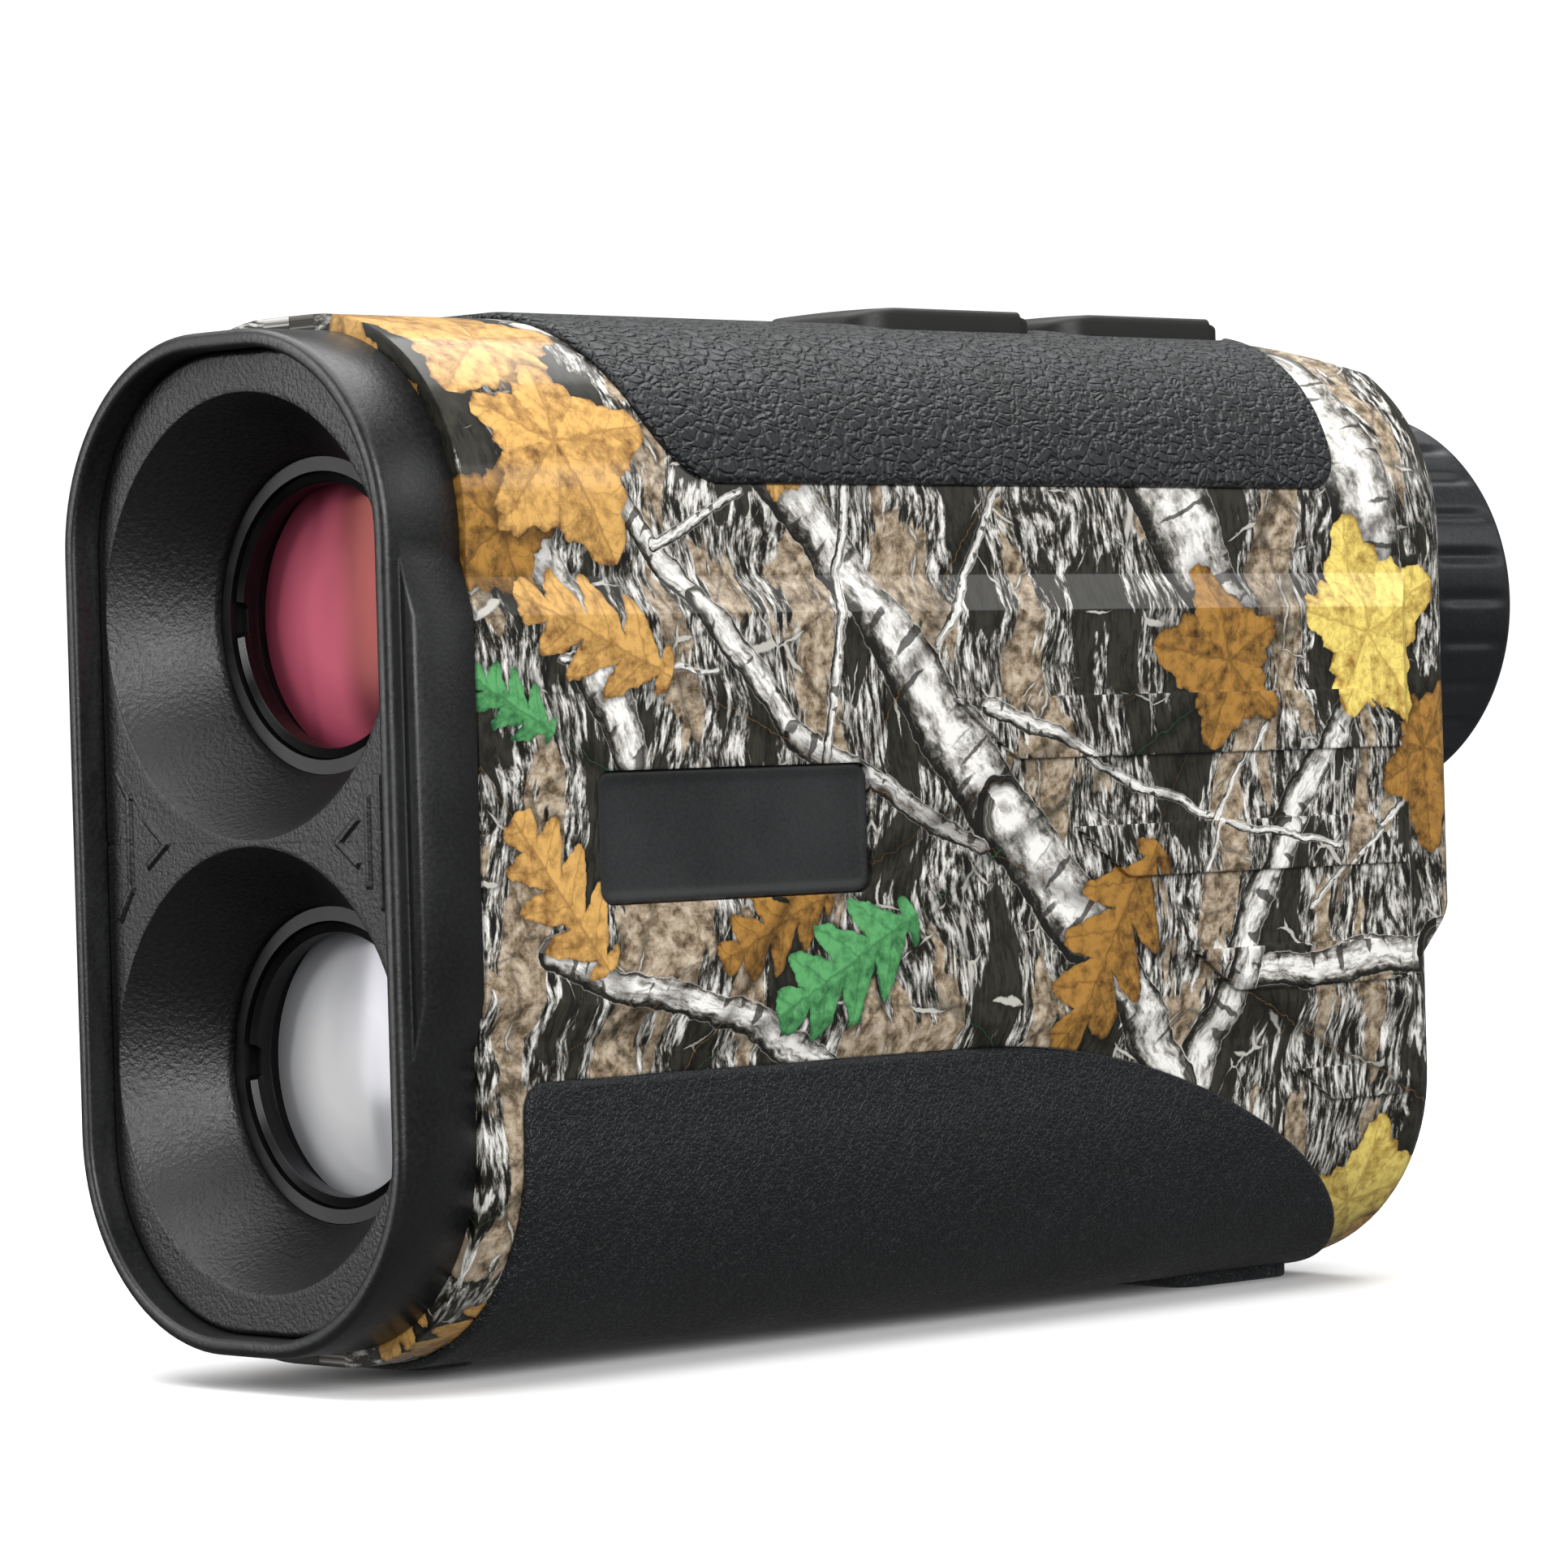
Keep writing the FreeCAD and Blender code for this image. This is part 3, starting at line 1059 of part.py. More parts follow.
def make_battery_cap():
    """The quarter-turn cap, its seal, its contact and its fold-out tab."""
    axis = BATTERY_AXIS
    plug_front = f"({CAP_SEAT} - cap_plug)"
    groove = f"({CAP_SEAT} - 1.4)"
    bore = f"({PLUG_RADIUS} - 1.2)"
    depth = f"({PLUG_RADIUS} - 0.8)"
    hinge_y = f"({CAP_FACE} - knuckle_radius - 0.05)"
    blank = turned("cap_blank", axis, [
        (f"({CAP_SEAT} - 0.6)", "0"), (CAP_FACE, "0"), (CAP_FACE, f"({CAP_RADIUS} - 0.5)"),
        (f"({CAP_FACE} - 0.5)", CAP_RADIUS), (CAP_SEAT, CAP_RADIUS), (CAP_SEAT, PLUG_RADIUS),
        (f"({groove} + 0.5)", PLUG_RADIUS), (f"({groove} + 0.5)", depth),
        (f"({groove} - 0.5)", depth), (f"({groove} - 0.5)", PLUG_RADIUS),
        (plug_front, PLUG_RADIUS), (plug_front, bore), (f"({CAP_SEAT} - 0.6)", bore)])
    tab_radius = f"({CAP_RADIUS} - tab_inset)"
    recess = disc("tab_recess", axis, f"({CAP_FACE} - tab_thick - 0.2)", f"({CAP_FACE} + 1)",
                  f"({tab_radius} + 0.2)")
    upper = box("above_tab", (f"-{FAR}", FAR), (f"({CAP_FACE} - 5)", f"({CAP_FACE} + 5)"),
                (f"({axis} + 1.4)", FAR))
    pin = rod("tab_pin_rod", "x", (hinge_y, axis), "-tab_pin_length / 2", "tab_pin_length",
              "tab_pin_radius")
    trough = rod("hinge_trough", "x", (hinge_y, axis), "(-tab_pin_length / 2 + 1.4)",
                 "tab_pin_length - 2.8", "knuckle_radius + 0.15")
    lug_room = fuse("tab_and_trough", cut("tab_room", recess, upper), trough)
    lugs = []
    for side, start in (("left", "(-tab_pin_length / 2 - 0.6)"), ("right", "(tab_pin_length / 2 - 1.4)")):
        lugs.append(box(f"{side}_lug", (start, f"({start} + 2)"),
                        (f"({CAP_FACE} - tab_thick - 0.4)", f"({CAP_FACE} - 0.05)"),
                        (f"({axis} - 0.9)", f"({axis} + 1.5)")))
    head = fuse("cap_with_lugs", cut("cap_open", blank, lug_room), *lugs)
    finish(cut("cap_solid", head, pin), "battery_cap")
    finish(pin, "tab_pin")
    plate = disc("tab_disc", axis, f"({CAP_FACE} - tab_thick)", CAP_FACE, tab_radius)
    above = box("tab_above", (f"-{FAR}", FAR), (f"({CAP_FACE} - 5)", f"({CAP_FACE} + 5)"),
                (axis, FAR))
    corners = [box(f"{side}_corner", pair, (f"({CAP_FACE} - 5)", f"({CAP_FACE} + 5)"),
                   (f"({axis} - 1.6)", FAR))
               for side, pair in (("left", (f"-{FAR}", "(-tab_pin_length / 2 + 1.6)")),
                                  ("right", ("(tab_pin_length / 2 - 1.6)", FAR)))]
    knuckle = rod("tab_knuckle", "x", (hinge_y, axis), "(-tab_pin_length / 2 + 1.6)",
                  "tab_pin_length - 3.2", "knuckle_radius")
    pin_hole = rod("tab_pin_hole", "x", (hinge_y, axis), "-tab_pin_length", "2 * tab_pin_length",
                   "tab_pin_radius + running_gap / 2")
    leaf = fuse("tab_leaf", cut("tab_half", plate, above, *corners), knuckle)
    finish(cut("tab_solid", leaf, pin_hole), "battery_tab")
    torus = doc.addObject("Part::Torus", "cap_o_ring")
    torus.Placement = FreeCAD.Placement(FreeCAD.Vector(),
                                        FreeCAD.Rotation(FreeCAD.Vector(1, 0, 0), -90))
    bind(torus, Radius1=f"{depth} + 0.42", Radius2="0.4", y=groove, z=axis)
    finish(torus, "cap_seal")
    finish(disc("cap_contact", axis, f"({CELL_REAR} + 0.1)", f"({CAP_SEAT} - 0.6)", "3.5"),
           "battery_contact")


def check_and_write():
    """Stops on any failed object; writes each finished sub-part as STEP."""
    doc.recompute()
    for item in doc.Objects:
        bad = [state for state in item.State if state in ("Invalid", "Error")]
        if bad:
            raise RuntimeError(f"{item.Name} ({item.Label}) is {bad}")
    for node, item in finished.items():
        if item.Shape.isNull() or not item.Shape.isValid():
            raise RuntimeError(f"{node} has no valid shape")
    os.makedirs("parts", exist_ok=True)
    for node, item in finished.items():
        item.Shape.exportStep(f"parts/{node}.step")
        bounds = item.Shape.BoundBox
        print(f"{node:24s} solids {len(item.Shape.Solids):2d} volume {item.Shape.Volume:9.1f}  "
              f"x {bounds.XMin:7.2f} {bounds.XMax:7.2f}  y {bounds.YMin:7.2f} {bounds.YMax:7.2f}  "
              f"z {bounds.ZMin:7.2f} {bounds.ZMax:7.2f}")


fill_sheet()
band_form, full_skin = make_shells_and_grips()
make_badges()
make_lanyard_well(full_skin)
make_screws()
make_bezel(band_form)
make_face_plate()
make_front_optics("objective", OBJECTIVE_AXIS)
make_front_optics("receiver", RECEIVER_AXIS)
make_eyepiece()
make_optical_bench()
make_chassis()
make_boards()
make_button("power", 0)
make_button("mode", 1)
make_button_board()
make_battery_bay()
make_battery_cap()
check_and_write()
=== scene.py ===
"""Looks of the hand-held laser rangefinder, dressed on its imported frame.

Lengths inside the classes are millimetres and turn into metres when a mesh is
made.  The front rim faces -Y, the eyepiece +Y, and +Z is up.
"""
import json
import logging
from collections.abc import Callable
from dataclasses import dataclass
from enum import Enum

import bmesh
import bpy
import numpy as np
from mathutils import Matrix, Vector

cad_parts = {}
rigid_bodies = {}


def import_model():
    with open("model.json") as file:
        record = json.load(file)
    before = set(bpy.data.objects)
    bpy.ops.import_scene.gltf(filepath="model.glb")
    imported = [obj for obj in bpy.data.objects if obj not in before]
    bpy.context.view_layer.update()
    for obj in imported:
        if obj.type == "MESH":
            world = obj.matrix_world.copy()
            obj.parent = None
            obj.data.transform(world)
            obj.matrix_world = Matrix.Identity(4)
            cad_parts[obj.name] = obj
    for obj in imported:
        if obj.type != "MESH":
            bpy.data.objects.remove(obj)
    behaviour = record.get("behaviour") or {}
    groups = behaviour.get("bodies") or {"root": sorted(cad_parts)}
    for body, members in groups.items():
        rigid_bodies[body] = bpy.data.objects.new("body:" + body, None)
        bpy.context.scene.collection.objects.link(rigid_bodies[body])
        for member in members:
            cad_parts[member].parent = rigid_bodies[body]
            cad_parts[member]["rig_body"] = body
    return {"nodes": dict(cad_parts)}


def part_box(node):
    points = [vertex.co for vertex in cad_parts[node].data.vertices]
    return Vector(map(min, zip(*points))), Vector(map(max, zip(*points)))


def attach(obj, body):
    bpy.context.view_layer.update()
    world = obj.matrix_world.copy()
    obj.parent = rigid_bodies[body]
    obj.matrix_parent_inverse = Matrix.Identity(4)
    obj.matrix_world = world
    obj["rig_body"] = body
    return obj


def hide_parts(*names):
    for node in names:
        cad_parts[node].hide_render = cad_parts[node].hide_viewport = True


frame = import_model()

log = logging.getLogger("rangefinder")

MM = 0.001


def limits(node: str) -> tuple[np.ndarray, np.ndarray]:
    """Lowest and highest corner of a CAD node, in millimetres.

    Args:
        node: name of the CAD node.

    Returns:
        The two corners.
    """
    low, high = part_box(node)
    return np.array(low) / MM, np.array(high) / MM


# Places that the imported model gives.
FRONT = limits("front_bezel")[0][1]
SEAM = limits("right_shell")[0][1]
SHELL_LOW, SHELL_HIGH = limits("right_shell")[0][2], limits("right_shell")[1][2]
MIDDLE = (SHELL_LOW + SHELL_HIGH) / 2
OBJECTIVE = (limits("objective_lens")[0][2] + limits("objective_lens")[1][2]) / 2
RECEIVER = (limits("receiver_lens")[0][2] + limits("receiver_lens")[1][2]) / 2


@dataclass(frozen=True)
class Section:
    """The shells' cross-section: a rectangle with wide round corners.

    Attributes:
        half: half the width across the plain sides.
        tall: half the height.
        flat: half the flat strip along the top and the bottom.
    """

    half: float = 17.8
    tall: float = 36.15
    flat: float = 2.6

    @property
    def corner(self) -> float:
        """Radius of the corners."""
        return self.half - self.flat

    @property
    def straight(self) -> float:
        """Half the height of the flat sides."""
        return self.tall - self.corner

    @property
    def reach(self) -> float:
        """Way round the skin from half height to the middle of the top."""
        return self.straight + self.corner * np.pi / 2 + self.flat

    def way(self, over: float) -> float:
        """Way round the skin up to a height over the middle, on the corner's arc."""
        return self.straight + self.corner * np.arcsin((over - self.straight) / self.corner)

    def place(self, way: np.ndarray, proud: np.ndarray) -> tuple[np.ndarray, np.ndarray]:
        """Point on the skin, or a little over it.

        The way runs up the flat side, round the corner's arc and over the flat
        top, then down the other side, so x and z follow those three formulas.

        Args:
            way: millimetres round the skin from half height on the right.
            proud: millimetres over the skin.

        Returns:
            x, and z over the middle.
        """
        down = np.sign(way)
        size = np.abs(way)
        other = size > self.reach
        size = np.where(other, 2 * self.reach - size, size)
        turn = np.clip((size - self.straight) / self.corner, 0, np.pi / 2)
        over = np.maximum(size - self.straight - self.corner * np.pi / 2, 0)
        x = self.flat + (self.corner + proud) * np.cos(turn) - over
        z = np.minimum(size, self.straight) + (self.corner + proud) * np.sin(turn)
        return np.where(other, -x, x), down * z


SECTION = Section()


# ------------------------------------------------------------------- meshes
class Surface:
    """Gathers grids of points, in millimetres, into one mesh."""

    def __init__(self) -> None:
        """Starts with no points."""
        self.points: list[np.ndarray] = []
        self.faces: list[np.ndarray] = []
        self.count = 0

    def grid(self, points: np.ndarray, rows_close: bool = False, columns_close: bool = False,
             toward: tuple[float, float, float] | None = None,
             keep: Callable[[np.ndarray], np.ndarray] | None = None) -> "Surface":
        """Adds a grid as quads: point (r, c) joins (r, c+1), (r+1, c+1), (r+1, c).

        Args:
            points: array of rows, columns and x, y, z.
            rows_close: the last row joins the first.
            columns_close: the last column joins the first.
            toward: the way the faces look on the whole, for an open sheet.
            keep: tells from the face centres which faces stay.

        Returns:
            Itself.
        """
        rows, columns = points.shape[:2]
        index = np.arange(rows * columns).reshape(rows, columns)
        if rows_close:
            index = np.concatenate([index, index[:1]])
        if columns_close:
            index = np.concatenate([index, index[:, :1]], axis=1)
        quads = np.stack([index[:-1, :-1], index[:-1, 1:], index[1:, 1:], index[1:, :-1]], -1)
        quads = quads.reshape(-1, 4)
        flat = points.reshape(-1, 3)
        if keep is not None:
            quads = quads[keep(flat[quads].mean(1))]
        if toward is not None:
            a, b, c = (flat[quads[:, k]] for k in (0, 1, 2))
            if np.cross(b - a, c - a).sum(0) @ np.array(toward) < 0:
                quads = quads[:, ::-1]
        self.points.append(flat)
        self.faces.append(quads + self.count)
        self.count += len(flat)
        return self

    def piece(self, name: str, sharp: float = 35.0, closed: bool = True) -> bpy.types.Object:
        """Makes the object, at the origin, with its place in its mesh.

        Args:
            name: the piece's name.
            sharp: edges over this many degrees stay sharp.
            closed: the mesh is closed, so its faces can be turned outwards.

        Returns:
            The new object.
        """
        mesh = bpy.data.meshes.new(name)
        mesh.from_pydata((np.concatenate(self.points) * MM).tolist(), [],
                         np.concatenate(self.faces).tolist())
        work = bmesh.new()
        work.from_mesh(mesh)
        bmesh.ops.remove_doubles(work, verts=work.verts, dist=1e-7)
        bmesh.ops.dissolve_degenerate(work, edges=work.edges, dist=1e-8)
        if closed:
            bmesh.ops.recalc_face_normals(work, faces=work.faces)
        work.to_mesh(mesh)
        work.free()
        mesh.shade_smooth()
        mesh.set_sharp_from_angle(angle=np.radians(sharp))
        made = bpy.data.objects.new(name, mesh)
        bpy.context.scene.collection.objects.link(made)
        return made


def turned(profile: list[tuple[float, float]], axis: float, turns: int = 128,
           change: Callable[[np.ndarray, np.ndarray, np.ndarray], np.ndarray] | None = None) -> np.ndarray:
    """Turns a profile about a line along Y.

    x = r cos t and z = axis + r sin t, with r and y from the profile.

    Args:
        profile: rows of radius and y.
        axis: height of the axis.
        turns: steps round the axis.
        change: gives a new radius from radius, y and angle.

    Returns:
        Grid of points, profile by angle.
    """
    rows = np.array(profile, float)
    angle = np.linspace(0, 2 * np.pi, turns, endpoint=False)
    radius, y = np.broadcast_arrays(rows[:, :1], rows[:, 1:] + 0 * angle)
    if change is not None:
        radius = change(radius, y, angle[None] + 0 * y)
    return np.stack([radius * np.cos(angle), y, axis + radius * np.sin(angle)], -1)


def arc(centre: tuple[float, float], radius: float, start: float, end: float,
        steps: int = 5) -> list[tuple[float, float]]:
    """Points on an arc of a profile: centre + radius (cos, sin) from start to end degrees."""
    turn = np.radians(np.linspace(start, end, steps))
    return list(zip(centre[0] + radius * np.cos(turn), centre[1] + radius * np.sin(turn)))


def round_outline(half: np.ndarray, radius: float, steps: int, levels: np.ndarray,
                  across: int) -> tuple[np.ndarray, np.ndarray]:
    """Points and outward normals round a rectangle with round corners.

    Each corner is its centre + radius (cos, sin).  The upright sides have
    points at given levels and the level sides have evenly spaced ones.

    Args:
        half: half the width and half the height.
        radius: corner radius.
        steps: points in each corner.
        levels: heights of the points on the upright sides, rising.
        across: points on each level side.

    Returns:
        Points and normals, one row each.
    """
    signs = np.array([(1, 1), (-1, 1), (-1, -1), (1, -1)])
    points, normals = [], []
    for corner in range(4):
        turn = np.radians(90 * corner + np.linspace(0, 90, steps))
        normal = np.stack([np.cos(turn), np.sin(turn)], 1)
        points.append(signs[corner] * (half - radius) + radius * normal)
        normals.append(normal)
        if corner % 2:
            rise = levels[::-1] if corner == 1 else levels
            side = np.stack([np.full(len(rise), normal[-1, 0] * half[0]), rise], 1)
        else:
            run = np.linspace(1, -1, across + 2)[1:-1] * (half[0] - radius)
            side = np.stack([run * normal[-1, 1], np.full(across, normal[-1, 1] * half[1])], 1)
        points.append(side)
        normals.append(np.repeat(normal[-1:], len(side), 0))
    return np.concatenate(points), np.concatenate(normals)


def inside_round(x: np.ndarray, z: np.ndarray, half_x: float, half_z: float, radius: float) -> np.ndarray:
    """Depth inside a rectangle with round corners, below nought outside it.

    The usual distance to a box shrunk by the radius, less the radius.
    """
    out_x, out_z = np.abs(x) - half_x + radius, np.abs(z) - half_z + radius
    away = np.hypot(np.maximum(out_x, 0), np.maximum(out_z, 0))
    return radius - away - np.minimum(np.maximum(out_x, out_z), 0)


def tile(length: float, width: float, corner: float, rim: float, floor: float,
         crown: Callable[[np.ndarray, np.ndarray, np.ndarray], np.ndarray],
         cuts: tuple[float, ...] = ()) -> list[np.ndarray]:
    """A slab with round corners, a rounded rim and a shaped top.

    The half width at a place along it is width/2, less what the corner's arc
    takes off near the ends.  The top falls off as a quarter circle of the rim's
    radius where it nears the outline.

    Args:
        length: size along.
        width: size across.
        corner: corner radius in plan.
        rim: radius of the top edge.
        floor: height of the flat bottom.
        crown: height of the top from along, across and depth inside the outline.
        cuts: places along it that need their own line of points.

    Returns:
        Three grids of along, across and up: top, wall and bottom.
    """
    near = np.array([0, .03, .1, .2, .32, .45, .7, 1.0, 1.4, 1.9, 2.5, 3.2])
    near = near[near < length / 2]
    line = np.unique(np.concatenate([near, length - near, np.arange(near[-1], length - near[-1], .8),
                                     np.array(cuts)])) - length / 2
    end = np.minimum(length / 2 - np.abs(line), corner)
    half = width / 2 - corner + np.sqrt(np.maximum(corner ** 2 - (corner - end) ** 2, 0))
    rise = np.array([0, .006, .02, .04, .065, .1, .16, .24, .36, .5, .7, .85, 1])
    share = np.concatenate([-1 + rise[:-1], 1 - rise[::-1]])
    along = line[:, None] + 0 * share
    across = half[:, None] * share
    depth = np.maximum(inside_round(along, across, length / 2, width / 2, corner), 0)
    fall = rim - np.sqrt(np.maximum(rim ** 2 - (rim - np.minimum(depth, rim)) ** 2, 0))
    top = np.stack([along, across, crown(along, across, depth) - fall], -1)
    low = np.stack([along, across, np.full_like(along, floor)], -1)
    loops = [np.concatenate([g[:, 0], g[-1, 1:], g[-2::-1, -1], g[0, -2:0:-1]]) for g in (top, low)]
    return [top, np.stack(loops), low]


# ---------------------------------------------------------------- node trees
def linear(colour: str, alpha: float = 1.0) -> tuple[float, float, float, float]:
    """Turns an sRGB hex colour to linear light.

    Args:
        colour: "#rrggbb".
        alpha: fourth value.

    Returns:
        Red, green, blue and alpha.
    """
    parts = np.array([int(colour[k:k + 2], 16) for k in (1, 3, 5)]) / 255
    light = np.where(parts <= 0.04045, parts / 12.92, ((parts + 0.055) / 1.055) ** 2.4)
    return (*light.tolist(), alpha)


def put(tree: bpy.types.NodeTree, kind: str, *values: object, named: dict | None = None,
        out: int | None = 0, ramp: tuple | None = None, **settings: object) -> object:
    """Adds a node with its settings and links.

    Args:
        tree: the node tree.
        kind: node type without "ShaderNode", and its operation after a space.
        values: numbers or sockets for the first inputs, None to leave one alone.
        named: numbers or sockets for inputs by name.
        out: which output is wanted, or None for the node.
        ramp: stops of a colour ramp, each a place and a hex colour.
        settings: the node's other settings.

    Returns:
        The wanted output socket, or the node.
    """
    word, _, operation = kind.partition(" ")
    made = tree.nodes.new("ShaderNode" + word)
    if operation:
        made.operation = operation
    for key, setting in settings.items():
        setattr(made, key, setting)
    if ramp:
        stops = made.color_ramp.elements
        stops.remove(stops[1])
        stops[0].position, stops[0].color = ramp[0][0], linear(ramp[0][1])
        for place, colour in ramp[1:]:
            stops.new(place).color = linear(colour)
    for key, value in [*enumerate(values), *(named or {}).items()]:
        if isinstance(value, bpy.types.NodeSocket):
            tree.links.new(value, made.inputs[key])
        elif value is not None:
            made.inputs[key].default_value = linear(value) if isinstance(value, str) else value
    return made if out is None else made.outputs[out]


def new_group(name: str, takes: dict[str, str], gives: dict[str, str]) -> tuple:
    """Starts a node group.

    Args:
        name: the group's name.
        takes: its inputs, name to socket kind.
        gives: its outputs, name to socket kind.

    Returns:
        The tree, its input sockets and its output node.
    """
    tree = bpy.data.node_groups.new(name, "ShaderNodeTree")
    for sockets, way in ((takes, "INPUT"), (gives, "OUTPUT")):
        for title, kind in sockets.items():
            tree.interface.new_socket(title, in_out=way, socket_type="NodeSocket" + kind)
    return tree, tree.nodes.new("NodeGroupInput").outputs, tree.nodes.new("NodeGroupOutput")


def new_material(name: str) -> tuple[bpy.types.Material, bpy.types.NodeTree, bpy.types.Node]:
    """Starts a material with one Principled shader.

    Args:
        name: the material's name.

    Returns:
        The material, its tree and the shader node.
    """
    material = bpy.data.materials.new(name)
    material.use_nodes = True
    tree = material.node_tree
    return material, tree, tree.nodes["Principled BSDF"]


def dress_shader(tree: bpy.types.NodeTree, shader: bpy.types.Node, **values: object) -> None:
    """Sets or links the shader's sockets, given by name with _ for a space."""
    for title, value in values.items():
        socket = shader.inputs[title.replace("_", " ")]
        if isinstance(value, bpy.types.NodeSocket):
            tree.links.new(value, socket)
        else:
            socket.default_value = linear(value) if isinstance(value, str) else value


# ------------------------------------------------------------------ finishes
@dataclass(frozen=True)
class Moulded:
    """Injection-moulded plastic with the fine grain of a spark-eroded mould.

    Attributes:
        name: material name.
        dark, light: the colour in the grain's pits and on its tops.
        rough: mean roughness.
        grain: grain size in millimetres.
        relief: grain depth in millimetres.
        edge: radius of the moulded edges in millimetres.
        ior: index of refraction.
    """

    name: str
    dark: str
    light: str
    rough: float
    grain: float = 0.3
    relief: float = 0.02
    edge: float = 0.15
    ior: float = 1.5

    def make(self) -> bpy.types.Material:
        """Makes the material: cloudy tone, grain in bump and roughness, rounded edges."""
        material, tree, shader = new_material(self.name)
        at = put(tree, "TexCoord", out=3)
        grain = put(tree, "TexNoise", at, named={
            "Scale": 1 / (self.grain * MM), "Detail": 3.0, "Roughness": 0.6})
        cloud = put(tree, "TexNoise", at, named={"Scale": 1 / (9 * MM), "Detail": 2.0})
        both = put(tree, "Math MULTIPLY_ADD", cloud, 0.5, put(tree, "Math MULTIPLY", grain, 0.5))
        tone = put(tree, "ValToRGB", both, ramp=((0.36, self.dark), (0.66, self.light)))
        rough = put(tree, "MapRange", both, 0.35, 0.65, self.rough - 0.07, self.rough + 0.09)
        soft = put(tree, "Bevel", named={"Radius": self.edge * MM}, samples=4)
        bump = put(tree, "Bump", named={"Distance": self.relief * MM, "Height": grain, "Normal": soft})
        dress_shader(tree, shader, Base_Color=tone, Roughness=rough, Normal=bump, IOR=self.ior)
        return material


@dataclass(frozen=True)
class Leathery:
    """Overmoulded soft rubber (TPE) with a leather-grained skin.

    Wrinkles are cell edges pulled out along the body; fine pores lie between.

    Attributes:
        name: material name.
        dark, light: colour of the creases, darkened as painted shade, and of the pads between them.
        cell: size of a pad in millimetres.
        relief: depth of the creases in millimetres.
        rough: roughness of the pads.
        stretch: how much longer than wide the pads are.
    """

    name: str
    dark: str
    light: str
    cell: float
    relief: float
    rough: float
    stretch: float = 1.5

    def make(self) -> bpy.types.Material:
        """Makes the material: smooth cell edges as creases, pores, and a dull bloom."""
        material, tree, shader = new_material(self.name)
        at = put(tree, "TexCoord", out=3)
        sway = put(tree, "TexNoise", at, named={"Scale": 0.5 / (self.cell * MM), "Detail": 2.0}, out=1)
        shift = put(tree, "VectorMath MULTIPLY_ADD", sway, (0.0016,) * 3, at)
        long = put(tree, "VectorMath MULTIPLY", shift, (1.0, 1 / self.stretch, 1.0))
        pads = put(tree, "TexVoronoi", long, named={"Scale": 1 / (self.cell * MM)},
                   feature="DISTANCE_TO_EDGE")
        crease = put(tree, "MapRange", pads, 0.0, 0.22, 0.0, 1.0, interpolation_type="SMOOTHSTEP")
        pores = put(tree, "TexNoise", at, named={"Scale": 1 / (0.18 * MM), "Detail": 2.0})
        cloud = put(tree, "TexNoise", at, named={"Scale": 1 / (7 * MM), "Detail": 3.0})
        height = put(tree, "Math MULTIPLY_ADD", pores, 0.25, crease)
        # Random cloudy tone, plus painted shade that darkens the creases.
        cloud_and_crease_shade = put(tree, "Math MULTIPLY_ADD", cloud, 0.9, put(tree, "Math MULTIPLY", crease, 0.35))
        tone = put(tree, "ValToRGB", cloud_and_crease_shade, ramp=((0.25, self.dark), (0.85, self.light)))
        rough = put(tree, "MapRange", cloud_and_crease_shade, 0.3, 0.9, self.rough + 0.1, self.rough - 0.05)
        soft = put(tree, "Bevel", named={"Radius": 0.2 * MM}, samples=4)
        bump = put(tree, "Bump", named={"Distance": self.relief * MM, "Height": height, "Normal": soft})
        dress_shader(tree, shader, Base_Color=tone, Roughness=rough, Normal=bump, IOR=1.42,
                     Sheen_Weight=0.02, Sheen_Roughness=0.5)
        return material


@dataclass(frozen=True)
class Metal:
    """Turned or drawn metal, bare or anodised, with fine lines round Y.

    Attributes:
        name: material name.
        dark, light: colour range.
        rough: mean roughness.
        metallic: 1 for bare metal, less under an anodised layer.
        lines: spacing of the tool lines along Y in millimetres.
    """

    name: str
    dark: str
    light: str
    rough: float
    metallic: float = 1.0
    lines: float = 0.2

    def make(self) -> bpy.types.Material:
        """Makes the material: tool lines in tone, roughness and bump."""
        material, tree, shader = new_material(self.name)
        at = put(tree, "TexCoord", out=3)
        along = put(tree, "VectorMath MULTIPLY", at, (0.08, 1.0, 0.08))
        cut = put(tree, "TexNoise", along, named={"Scale": 1 / (self.lines * MM), "Detail": 4.0})
        tone = put(tree, "ValToRGB", cut, ramp=((0.3, self.dark), (0.7, self.light)))
        rough = put(tree, "MapRange", cut, 0.3, 0.7, self.rough - 0.06, self.rough + 0.08)
        bump = put(tree, "Bump", named={"Distance": 0.006 * MM, "Height": cut})
        dress_shader(tree, shader, Base_Color=tone, Roughness=rough, Metallic=self.metallic, Normal=bump)
        return material


